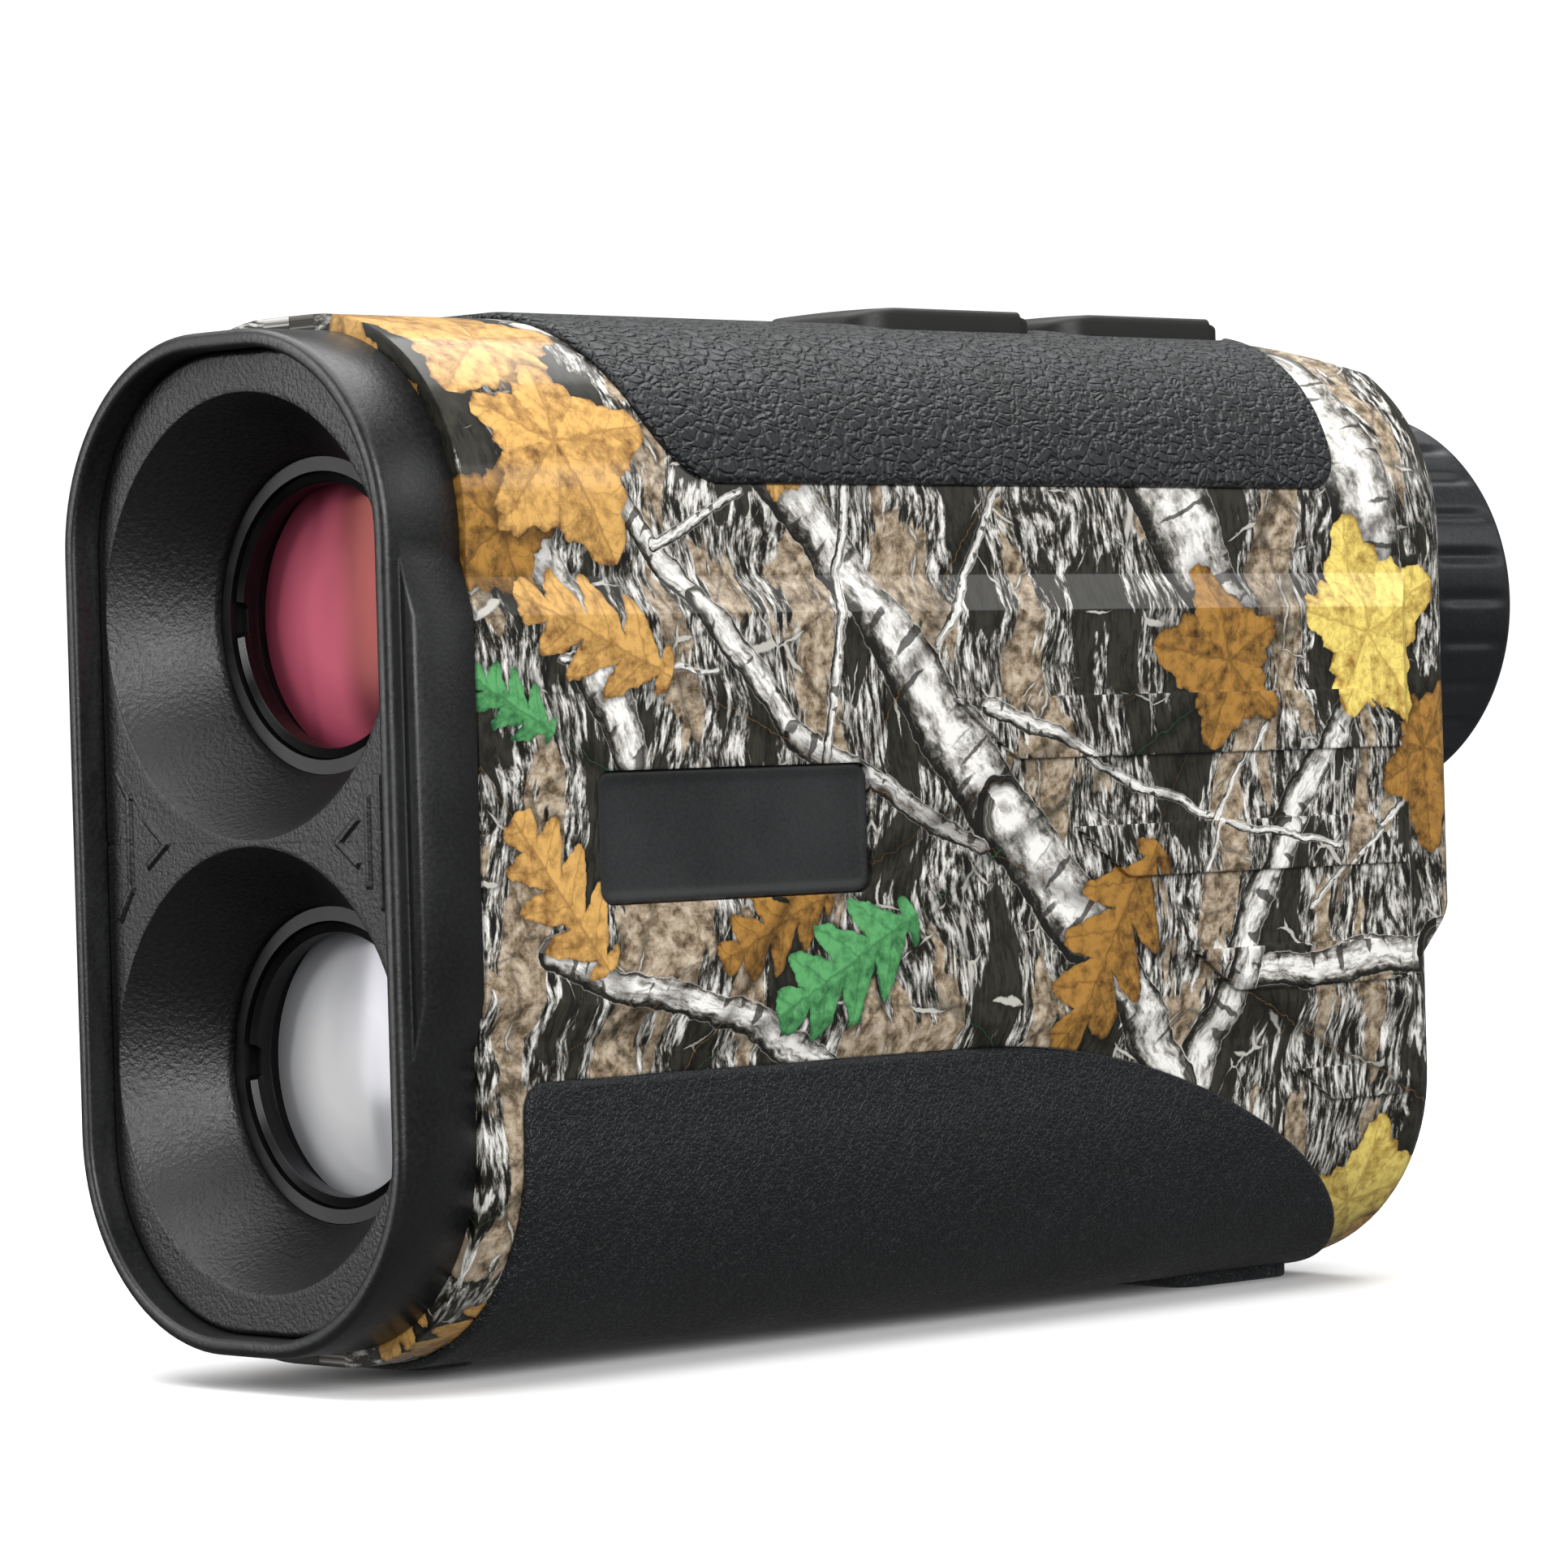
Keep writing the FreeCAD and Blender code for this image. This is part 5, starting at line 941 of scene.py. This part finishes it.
# -------------------------------------------------------------- sub-assemblies
@dataclass
class Nose:
    """Front bezel, face plate with both funnels, lens rings and front lenses."""

    half: tuple[float, float] = (17.4, 35.0)
    corner: float = 14.8
    rim_wall: float = 1.2
    recess: float = 2.1
    mouth: float = 15.23
    throat: float = 11.05
    throat_depth: float = 8.5
    neck: float = 3.0
    band_top: float = 14.95
    band_low: float = -10.55
    band_rise: float = 1.2
    band_slope: float = 3.9
    band_start: float = 1.2
    edge: float = 0.3

    def build(self, finish: dict[str, bpy.types.Material]) -> None:
        """Builds and dresses the pieces of the nose."""
        settle(self.bezel(), finish["nose"], "front_bezel")
        settle(self.plate(), finish["plate"], "face_plate")
        for name, glass in (("objective", "ruby"), ("receiver", "front")):
            settle(self.retaining_ring(name), finish["anodised"], f"{name}_retaining_ring")
            settle(self.lens(name), finish[glass], f"{name}_lens")

    def bezel(self) -> bpy.types.Object:
        """The nose ring: a closed profile carried round the outline.

        On the upright sides the outer wall moves out by the side band's height,
        which is full between its edges and falls to nought over its slopes.
        """
        levels = np.array([self.band_low - self.band_slope, self.band_low, 0, self.band_top,
                           self.band_top + self.band_slope])
        points, normals = round_outline(np.array(self.half), self.corner, 25, levels, 3)
        front, seam = FRONT, SEAM
        seat = front + self.recess + 2.0
        rows = [(.25, seam, 1), (0, seam - .25, 1), (0, front + self.band_start + .3, 1),
                (0, front + self.band_start + .06, .85), (0, front + self.band_start, 0),
                *((p[0], p[1], 0) for p in arc((.55, front + .55), .55, 180, 270, 6)),
                *((p[0], p[1], 0) for p in arc((self.rim_wall - .3, front + .3), .3, 270, 360, 5)),
                (self.rim_wall, seat, 0), (2.1, seat, 0), (2.1, seam + 3, 0),
                 (1.4, seam + 3, 0), (1.4, seam, 0)]
        inset, y, raised = np.array(rows).T
        xz = points[None] - inset[:, None, None] * normals[None]
        out = np.maximum(points[:, 1] - self.band_top, self.band_low - points[:, 1])
        rise = self.band_rise * np.clip(1 - out / self.band_slope, 0, 1) * (np.abs(normals[:, 0]) > .99)
        x = xz[..., 0] + np.sign(points[:, 0]) * rise * raised[:, None]
        grid = np.stack([x, y[:, None] + 0 * x, xz[..., 1] + MIDDLE], -1)
        return Surface().grid(grid, rows_close=True, columns_close=True).piece("front_bezel_body", 50)

    def plate(self) -> bpy.types.Object:
        """Face plate and funnels: rings about each lens axis out to half the plate.

        The reach in each direction comes from the plate's own outline, cut at
        half height, so the two halves share their edge there.
        """
        half = np.array(self.half) - self.rim_wall - .05
        corner = self.corner - self.rim_wall - .05
        outline, _ = round_outline(half, corner, 60, np.linspace(-20, 20, 161), 40)
        built = Surface()
        for axis, up in ((OBJECTIVE, 1), (RECEIVER, -1)):
            away = (axis - MIDDLE) * up
            kept = outline[outline[:, 1] > 0]
            base = np.linspace(-half[0], half[0], 201)
            rim = np.concatenate([kept, np.stack([base, 0 * base], 1)]) - (0, away)
            turn, reach = np.arctan2(rim[:, 1], rim[:, 0]), np.hypot(rim[:, 0], rim[:, 1])
            order = np.argsort(turn)
            ends = np.arctan2(-away, np.array([-half[0], half[0]]))
            angle = np.unique(np.concatenate([np.linspace(-np.pi, np.pi, 240, endpoint=False), ends]))
            bound = np.interp(angle, turn[order], reach[order], period=2 * np.pi)
            slope = (self.mouth - self.throat) / (self.throat_depth - self.recess)
            cone = np.linspace(0, 1, 9)
            rows = [(self.throat, self.throat_depth + self.neck), (self.throat, self.throat_depth + .4)]
            rows += [(self.throat + .05, self.throat_depth + .1)]
            rows += list(zip(self.throat + .15 + (self.mouth - .25 * slope - self.throat - .15) * cone,
                             self.throat_depth - .1 - (self.throat_depth - self.recess - .5) * cone))
            rows += [(self.mouth + .02, self.recess + .16), (self.mouth + .1, self.recess + .04),
                     (self.mouth + self.edge, self.recess)]
            radius, depth = (np.repeat(np.array(rows)[:, k, None], len(angle), 1) for k in (0, 1))
            start = self.mouth + self.edge
            room = np.maximum(bound - start, 0.004)
            inner = start + room * np.array([.08, .2, .35, .5, .65, .8])[:, None] * .8
            most = np.array([.5, .36, .22, .1, 0])[:, None]
            share = np.array([.8, .6, .35, .15, 0])[:, None]
            outer = bound - np.minimum(most, room * share)
            flat = np.concatenate([inner, np.maximum(outer, inner[-1:])])
            x, z = flat * np.cos(angle), flat * np.sin(angle)
            edge = inside_round(x, z + away, half[0], half[1], corner)
            drop = self.recess + .35 * np.clip(1 - edge / .36, 0, 1) ** 1.5
            radius, depth = np.concatenate([radius, flat]), np.concatenate([depth, drop])
            grid = np.stack([radius * np.cos(angle), FRONT + depth, axis + up * radius * np.sin(angle)], -1)
            built.grid(grid, columns_close=True, toward=(0, -1, 0))
        for start, end, wide in self.marks():
            built = self.raise_bar(built, np.array(start, float), np.array(end, float), wide)
        made = built.piece("face_plate_body", 40, closed=False)
        wall = made.modifiers.new("wall", "SOLIDIFY")
        wall.thickness, wall.offset = 0.9 * MM, -1
        return made

    def marks(self) -> list[tuple]:
        """Raised strokes between the funnels: two ends (across, over the middle) and half width."""
        left = [(-14.5, 5), (-13.3, 3.3), (-13.3, -3.1), (-14.5, -5)]
        arrow = [(-11.2, 1.5), (-9.3, 0), (-11.2, -1.4)]
        strokes = [(a, b, .26) for a, b in zip(left, left[1:])]
        strokes += [(a, b, .2) for a, b in zip(arrow, arrow[1:])]
        strokes += [((-a[0], a[1]), (-b[0], b[1]), .2) for a, b in zip(arrow, arrow[1:])]
        return strokes + [((13.8, 4.4), (13.8, -4.3), .16), ((12.4, 2.9), (12.4, -2.8), .22)]

    def raise_bar(self, built: Surface, start: np.ndarray, end: np.ndarray, wide: float) -> Surface:
        """Adds one stroke: rings of its outline drawn in evenly as they rise off the plate.

        Args:
            built: the surface so far.
            start, end: ends of the stroke's middle line.
            wide: half its width.

        Returns:
            The surface with the stroke.
        """
        line = (end - start) / np.linalg.norm(end - start)
        side = np.array([-line[1], line[0]])
        rings = []
        for inset, rise in ((-.14, -.2), (-.1, .02), (0, .12), (.3 * wide, .2), (wide, .22)):
            reach, half = (wide - inset) * line, (wide - inset) * side
            ring = np.stack([start - reach + half, start - reach - half,
                             end + reach - half, end + reach + half])
            level = np.full(4, FRONT + self.recess - rise)
            rings.append(np.stack([ring[:, 0], level, ring[:, 1] + MIDDLE], 1))
        return built.grid(np.stack(rings), columns_close=True, toward=(0, -1, 0))

    def retaining_ring(self, name: str) -> bpy.types.Object:
        """Threaded ring with fine anti-glare grooves and two spanner slots."""
        low, high = limits(f"{name}_retaining_ring")
        axis, outer, inner = (low[2] + high[2]) / 2, (high[2] - low[2]) / 2, 9.2
        start, end = low[1], high[1]
        groove = np.linspace(0, 1, 9)
        face = [(outer - .12 - (outer - inner - .2) * g, start + .1 * (k % 2)) for k, g in enumerate(groove)]
        bore = [(inner + .04 * (k % 2), start + .1 + (end - start - .15) * k / 6) for k in range(7)]
        rows = [(outer, end), (outer, start + .12), *face, *bore]
        grid = turned(rows, axis, 144)
        angle = np.linspace(0, 2 * np.pi, 144, endpoint=False)
        slot = (np.abs(np.sin(angle)) < .09)[None] & (grid[..., 1] < start + .5)
        grid[..., 1] = np.where(slot, np.maximum(grid[..., 1], start + .6), grid[..., 1])
        return Surface().grid(grid, rows_close=True, columns_close=True).piece(f"{name}_ring_grooved", 30)

    def lens(self, name: str) -> bpy.types.Object:
        """Biconvex lens: both faces are parts of a ball, y = start + R - sqrt(R^2 - r^2)."""
        low, high = limits(f"{name}_lens")
        axis, radius = (low[2] + high[2]) / 2, (high[2] - low[2]) / 2
        bulge = 1.2
        ball = (radius ** 2 + bulge ** 2) / (2 * bulge)
        r = radius * np.sin(np.linspace(0, np.pi / 2, 16))
        sag = ball - np.sqrt(ball ** 2 - r ** 2)
        rows = [*zip(r, low[1] + sag), *zip(r[::-1], high[1] - sag[::-1])]
        return Surface().grid(turned(rows, axis, 96), columns_close=True).piece(f"{name}_lens_ground", 50)


@dataclass
class Grips:
    """The two rubber grips that wrap over the top and under the bottom."""

    proud: float = 0.5
    thick: float = 1.05
    step: float = 0.45
    top_edge: float = 23.95
    low_edge: float = 16.55
    window: tuple[float, float] = (19.6, 12.6)
    window_corner: float = 3.3
    # Ends from the front rim, how far each leans over its height, and its corner radius.
    top_ends: tuple[float, float] = (20.9, 98.0)
    top_leans: tuple[float, float] = (5.4, 2.4)
    top_corners: tuple[float, float] = (7.0, 3.5)
    low_ends: tuple[float, float] = (10.4, 79.6)
    low_corners: tuple[float, float] = (2.0, 70.0)
    heel_end: float = 103.0

    def build(self, finish: dict[str, bpy.types.Material]) -> None:
        """Builds and dresses both grips and both feet."""
        settle(self.top(), finish["top_grip"], "top_grip")
        settle(self.bottom(), finish["low_grip"], "bottom_grip")
        for node in ("heel_foot", "front_foot"):
            settle(self.foot(node), finish["low_grip"], node)

    @staticmethod
    def cornered(edge: float, line: tuple[float, float, float], radius: float, z: np.ndarray) -> np.ndarray:
        """How far along an end of a grip lies at a height, over a level edge.

        The end is the line y = a + b (z - c) until an arc of the given radius,
        tangent to it and to the level edge, takes over.

        Args:
            edge: height of the level edge; the grip is above it.
            line: a, b and c of the end, b over nought if it leans rearwards going up.
            radius: the arc's radius.
            z: heights.

        Returns:
            y at each height, for a grip that lies on the +y side of the end.
        """
        a, b, c = line
        lean = np.hypot(1, b)
        centre_z = edge + radius
        centre_y = a + b * (centre_z - c) + radius * lean
        touch = centre_z + radius * b / lean
        ring = centre_y - np.sqrt(np.maximum(radius ** 2 - (z - centre_z) ** 2, 0))
        return np.where(z > touch, a + b * (z - c), ring)

    def inside_window(self, along: np.ndarray, across: np.ndarray) -> np.ndarray:
        """How deep a place from a window's middle lies inside it."""
        return inside_round(along, across, self.window[0] / 2, self.window[1] / 2, self.window_corner)

    def sheet(self, name: str, way: np.ndarray, starts: np.ndarray, ends: np.ndarray, up: int,
              windows: tuple[float, ...] = ()) -> bpy.types.Object:
        """A sheet on the shells' skin with a rounded rim.

        Args:
            name: the piece's name.
            way: places round the skin, one for each row.
            starts, ends: y where each row starts and ends.
            up: 1 for the top grip, -1 for the bottom one.
            windows: y of the middle of each button window.

        Returns:
            The grip.
        """
        near = np.array([0, .02, .07, .15, .27, .42, .6])
        share = np.linspace(0, 1, int((ends.max() - starts.min()) / self.step))[1:-1]
        length = (ends - starts)[:, None]
        edge = np.minimum(near, length * .01 * np.arange(7))
        body = starts[:, None] + edge[:, -1:] + (length - 2 * edge[:, -1:]) * share
        y = np.concatenate([starts[:, None] + edge, body, ends[:, None] - edge[:, ::-1]], 1)
        q = way[:, None] + 0 * y
        rim = np.concatenate([np.stack([q[k], y[k]], -1) for k in (0, -1)]
                             + [np.stack([q[:, k], y[:, k]], -1) for k in (0, -1)])
        flat = np.stack([q, y], -1)
        depth = np.concatenate([np.sqrt(((part[:, None] - rim[None]) ** 2).sum(-1)).min(1)
                                for part in np.array_split(flat.reshape(-1, 2), 60)]).reshape(q.shape)
        hole = np.full(q.shape, -9.0)
        for middle in windows:
            across = q - SECTION.reach
            here = self.inside_window(y - middle, across)
            near_edge = np.abs(here) < .5 * self.step
            step = 1e-3
            slope_y = (self.inside_window(y - middle + step, across) - here) / step
            slope_q = (self.inside_window(y - middle, across + step) - here) / step
            y = np.where(near_edge, y - here * slope_y, y)
            q = np.where(near_edge, q - here * slope_q, q)
            hole = np.maximum(hole, np.where(near_edge, 0, here))
        depth = np.minimum(depth, -hole)
        rise = self.proud * np.sqrt(np.maximum(1 - (1 - np.clip(depth / .55, 0, 1)) ** 2, 0)) + .02
        x, z = SECTION.place(q, rise)
        grid = np.stack([x, y, z + MIDDLE], -1)

        def keep(centres: np.ndarray) -> np.ndarray:
            """Tells which faces lie outside every window."""
            inside = [self.inside_window(centres[:, 1] - m, centres[:, 0]) for m in windows]
            return np.all([i < .04 for i in inside], axis=0) if inside else np.full(len(centres), True)

        made = Surface().grid(grid, toward=(0, 0, up), keep=keep).piece(name, 60, closed=False)
        wall = made.modifiers.new("wall", "SOLIDIFY")
        wall.thickness, wall.offset = self.thick * MM, -1
        return made

    def rows(self, edge: float) -> np.ndarray:
        """Places round the skin from one side's edge over the middle to the other's."""
        start = SECTION.way(edge) if edge > SECTION.straight else edge
        near = start + np.array([0, .01, .03, .07, .14, .25, .4, .6, .85, 1.2])
        body = np.linspace(near[-1] + self.step, SECTION.reach, int((SECTION.reach - near[-1]) / self.step))
        half = np.concatenate([near, body])
        return np.concatenate([half, 2 * SECTION.reach - half[-2::-1]])

    def top(self) -> bpy.types.Object:
        """Top grip with windows for the two buttons."""
        way = self.rows(self.top_edge)
        z = SECTION.place(way, np.full(way.shape, self.proud))[1]
        over = SECTION.tall + 5
        tilt = over - self.top_edge
        front, rear = self.top_ends
        start = self.cornered(self.top_edge, (front, -self.top_leans[0] / tilt, over), self.top_corners[0], z)
        end = -self.cornered(self.top_edge, (-rear, -self.top_leans[1] / tilt, over), self.top_corners[1], z)
        windows = tuple((limits(n)[0][1] + limits(n)[1][1]) / 2 for n in ("power_button", "mode_button"))
        return self.sheet("top_grip_skin", way, FRONT + start, FRONT + end, 1, windows)

    def bottom(self) -> bpy.types.Object:
        """Bottom grip: level edge, a long bend, then a straight slope to the heel."""
        way = self.rows(self.low_edge)
        z = SECTION.place(way, np.full(way.shape, self.proud))[1]
        front, rear = self.low_ends
        start = self.cornered(self.low_edge, (front, 0, 0), self.low_corners[0], z)
        foot = SECTION.tall + .2
        lean = (self.heel_end - rear) / (foot - self.low_edge)
        line = (-rear, -lean, self.low_edge)
        end = -self.cornered(self.low_edge, line, self.low_corners[1], np.minimum(z, foot))
        return self.sheet("bottom_grip_skin", -way, FRONT + start, FRONT + end, -1)

    def foot(self, node: str) -> bpy.types.Object:
        """A foot under the bottom grip: a slab with a rounded rim in its CAD node's box."""
        low, high = limits(node)
        size, middle = high - low, (low + high) / 2
        built = Surface()
        for grid in tile(size[1], size[0], 2, .3, -size[2], lambda a, b, d: 0 * a):
            place = np.stack([grid[..., 1], grid[..., 0] + middle[1], low[2] - grid[..., 2]], -1)
            built.grid(place, columns_close=grid.shape[0] == 2)
        return built.piece(f"{node}_pad", 40)


@dataclass
class Buttons:
    """Power and mode buttons: low rubber caps with a ramp in front and a step behind."""

    length: float = 19.0
    width: float = 12.0
    corner: float = 3.0
    rim: float = 0.45
    deep: float = 3.6
    # Places along a cap, from its front, where the rear step begins and ends.
    step_lines: tuple[float, float] = (16.45, 16.6)

    def build(self, finish: dict[str, bpy.types.Material]) -> None:
        """Builds and dresses both buttons."""
        for name in ("power_button", "mode_button"):
            low, high = limits(name)
            centre = (low[1] + high[1]) / 2
            built = Surface()
            for grid in tile(self.length, self.width, self.corner, self.rim, -self.deep,
                             self.crown, self.step_lines):
                place = np.stack([grid[..., 1], grid[..., 0] + centre, grid[..., 2] + high[2]], -1)
                built.grid(place, columns_close=grid.shape[0] == 2)
            settle(built.piece(f"{name}_cap", 40), finish["button"], name)

    def crown(self, along: np.ndarray, across: np.ndarray, depth: np.ndarray) -> np.ndarray:
        """Height of the cap: a front ramp 3.6 mm long, a slight crown and a rear step 0.4 down."""
        ramp = np.clip(1 - (along + self.length / 2) / 3.6, 0, 1) ** 2 * .55
        step = np.clip((along - (self.length / 2 - 2.5)) / .2, 0, 1) * .4
        return -ramp - step - .12 * (across / (self.width / 2)) ** 2


@dataclass
class Badges:
    """Blank plates on both sides: a fine raised border round a flat field."""

    length: float = 26.0
    height: float = 9.1
    corner: float = 1.2
    border: float = 0.55
    sunk: float = 0.12

    def build(self, finish: dict[str, bpy.types.Material]) -> None:
        """Builds and dresses both badges."""
        for side, sign in (("right", 1), ("left", -1)):
            low, high = limits(f"{side}_badge")
            face = high[0] if sign > 0 else -low[0]
            built = Surface()
            for grid in tile(self.length, self.height, self.corner, .2, -.65, self.field):
                place = np.stack([sign * (face + grid[..., 2]), grid[..., 0] + (low[1] + high[1]) / 2,
                                  grid[..., 1] + (low[2] + high[2]) / 2], -1)
                built.grid(place, columns_close=grid.shape[0] == 2)
            settle(built.piece(f"{side}_badge_plate", 40), finish["badge"], f"{side}_badge")

    def field(self, along: np.ndarray, across: np.ndarray, depth: np.ndarray) -> np.ndarray:
        """Height of the plate: nought on the border and a little lower inside it."""
        return -self.sunk * np.clip((depth - self.border) / .2, 0, 1)


@dataclass
class Eyepiece:
    """Fluted rubber eyecup over the diopter ring."""

    radius: float = 15.48
    flutes: int = 28
    flute_depth: float = 0.35
    mouth: float = 11.9
    bore: float = 13.1
    sleeve: float = 14.2
    lip: float = 2.2

    def build(self, finish: dict[str, bpy.types.Material]) -> None:
        """Builds and dresses the eyecup."""
        low, high = limits("eyecup")
        axis, start, end = (low[2] + high[2]) / 2, low[1], high[1]
        ring_end = limits("diopter_ring")[1][1]
        outer = [(self.radius, y) for y in np.linspace(end - 1.1, start + .5, 10)]
        rows = [(self.sleeve, start), (self.sleeve, ring_end), (self.bore, ring_end),
                (self.bore, end - self.lip), (self.mouth, end - self.lip), (self.mouth, end - .5),
                *arc((self.mouth + .4, end - .4), .4, 180, 90),
                *arc((self.radius - 1.1, end - 1.1), 1.1, 80, 10, 6), *outer, (self.radius - .25, start)]

        def fluted(radius: np.ndarray, y: np.ndarray, angle: np.ndarray) -> np.ndarray:
            """Takes shallow flutes out of the outside: depth times a flattened cosine."""
            wave = np.clip(1.6 * np.cos(self.flutes * angle) - .6, 0, 1)
            ends = np.clip((y - start - .9) / .6, 0, 1) * np.clip((end - 1.6 - y) / .6, 0, 1)
            return radius - self.flute_depth * wave * ends * (radius > self.radius - .01)

        grid = turned(rows, axis, self.flutes * 12, fluted)
        settle(Surface().grid(grid, rows_close=True, columns_close=True).piece("eyecup_fluted", 50),
               finish["cup"], "eyecup")


# Finish of every CAD node that stays as it is.
CARRIED = {
    "film": ("left_shell", "right_shell"),
    "cap": ("lanyard_well", "battery_cap", "battery_tab"),
    "cup": ("diopter_ring",),
    "steel": ("lanyard_bar", "shell_screws", "tab_pin", "battery_spring", "battery_contact",
              "detector", "laser_diode"),
    "anodised": ("objective_cell", "receiver_cell", "ocular_cell", "ocular_retaining_ring"),
    "inner": ("chassis", "eyepiece_tube", "prism_housing", "display_frame", "battery_bay"),
    "clear": ("eye_lens", "field_lens", "half_prism", "roof_prism", "display_glass"),
    "board": ("receiver_board", "main_board", "switch_board"),
    "chip": ("board_chips", "power_switch", "mode_switch"),
    "seal": ("bezel_seal", "eyepiece_seal", "cap_seal"),
    "jacket": ("battery",),
}


@dataclass
class Studio:
    """Camera, pale floor and soft lights."""

    azimuth: float = 45.942
    elevation: float = 0.508
    roll: float = -1.635
    lens: float = 143.2
    aim: tuple[float, float, float] = (36.94, 39.17, 425.19)
    shift: tuple[float, float, float] = (0.0, -59.8, 2.4)

    def build(self) -> None:
        """Places the camera, the floor, the sky and the lamps."""
        self.camera()
        self.floor()
        self.sky()
        self.lamps()

    def camera(self) -> None:
        """Camera on a line back from the object, turned about that line by the roll."""
        a, e, r = np.radians([self.azimuth, self.elevation, self.roll])
        back = np.array([np.sin(a) * np.cos(e), -np.cos(a) * np.cos(e), np.sin(e)])
        level = np.array([-back[1], back[0], 0]) / np.hypot(back[0], back[1])
        upward = np.cross(back, level)
        right = np.cos(r) * level + np.sin(r) * upward
        up = -np.sin(r) * level + np.cos(r) * upward
        spot = (self.aim[0] * right + self.aim[1] * up + self.aim[2] * back + self.shift) * MM
        data = bpy.data.cameras.new("camera")
        data.lens, data.sensor_width = self.lens, 36.0
        data.clip_start, data.clip_end = 0.01, 100.0
        made = bpy.data.objects.new("camera", data)
        turn = Matrix(np.stack([right, up, back], 1).tolist()).to_4x4()
        turn.translation = spot.tolist()
        made.matrix_world = turn
        bpy.context.scene.collection.objects.link(made)
        bpy.context.scene.camera = made

    def floor(self) -> None:
        """A plain round sheet under the object, pale and matt, that casts no light back."""
        angle = np.linspace(0, 2 * np.pi, 96, endpoint=False)
        reach = np.array([0.0, 200.0, 520.0])[:, None]
        disc = np.stack([reach * np.cos(angle), reach * np.sin(angle), 0 * reach * angle], -1)
        sheet = Surface().grid(disc, columns_close=True, toward=(0, 0, 1))
        sheet = sheet.piece("studio_floor", closed=False)
        sheet.visible_diffuse = sheet.visible_glossy = False
        material, tree, shader = new_material("matt white paint, rolled")
        at = put(tree, "TexCoord", out=3)
        nap = put(tree, "TexNoise", at, named={"Scale": 40.0, "Detail": 2.0})
        tone = put(tree, "ValToRGB", nap, ramp=((0.3, "#f4f4f4"), (0.7, "#fafafa")))
        dress_shader(tree, shader, Base_Color=tone, Roughness=0.9)
        sheet.data.materials.append(material)

    def sky(self) -> None:
        """White surround for the eye, dimmer for what it lights."""
        world = bpy.data.worlds.new("surround")
        world.use_nodes = True
        tree = world.node_tree
        seen = put(tree, "LightPath", out=0)
        power = put(tree, "MapRange", seen, 0.0, 1.0, 0.16, 1.15)
        back = tree.nodes["Background"]
        back.inputs[0].default_value = (1, 1, 1, 1)
        tree.links.new(power, back.inputs[1])
        bpy.context.scene.world = world

    def lamps(self) -> None:
        """Soft boxes: overhead, at the front left, along the right side, and a strip behind it."""
        for name, spot, aim, size, power in (
                ("overhead", (-0.1, 0.05, 0.9), (0, 0, 0), (1.3, 1.3), 20.0),
                ("front", (-0.6, -0.85, 0.3), (0, -0.03, 0.035), (0.4, 0.9), 7.0),
                ("side", (0.8, -0.42, 0.35), (0, 0, 0.035), (0.6, 0.6), 10.5),
                ("strip", (0.72, 0.84, 0.5), (0, 0, 0.035), (0.8, 0.18), 1.5)):
            data = bpy.data.lights.new(name, "AREA")
            data.shape, data.size, data.size_y, data.energy = "RECTANGLE", size[0], size[1], power
            made = bpy.data.objects.new(name, data)
            back = np.array(spot, float) - aim
            back /= np.linalg.norm(back)
            level = np.cross((0, 0, 1), back)
            level = level / np.linalg.norm(level) if np.linalg.norm(level) > 1e-6 else np.array([1.0, 0, 0])
            turn = Matrix(np.stack([level, np.cross(back, level), back], 1).tolist()).to_4x4()
            turn.translation = spot
            made.matrix_world = turn
            bpy.context.scene.collection.objects.link(made)
        bpy.context.scene.view_settings.view_transform = "Standard"


def main() -> None:
    """Builds the studio and every sub-assembly, and dresses the carried nodes."""
    logging.basicConfig(level=logging.INFO, format="%(name)s: %(message)s")
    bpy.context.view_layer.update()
    Studio().build()
    finish = Finishes().made()
    for key, nodes in CARRIED.items():
        for node in nodes:
            frame["nodes"][node].material_slots[0].material = finish[key]
        log.info("%s dresses %s", finish[key].name, ", ".join(nodes))
    for part in (Nose(), Grips(), Buttons(), Badges(), Eyepiece()):
        part.build(finish)


if __name__ == "__main__":
    main()
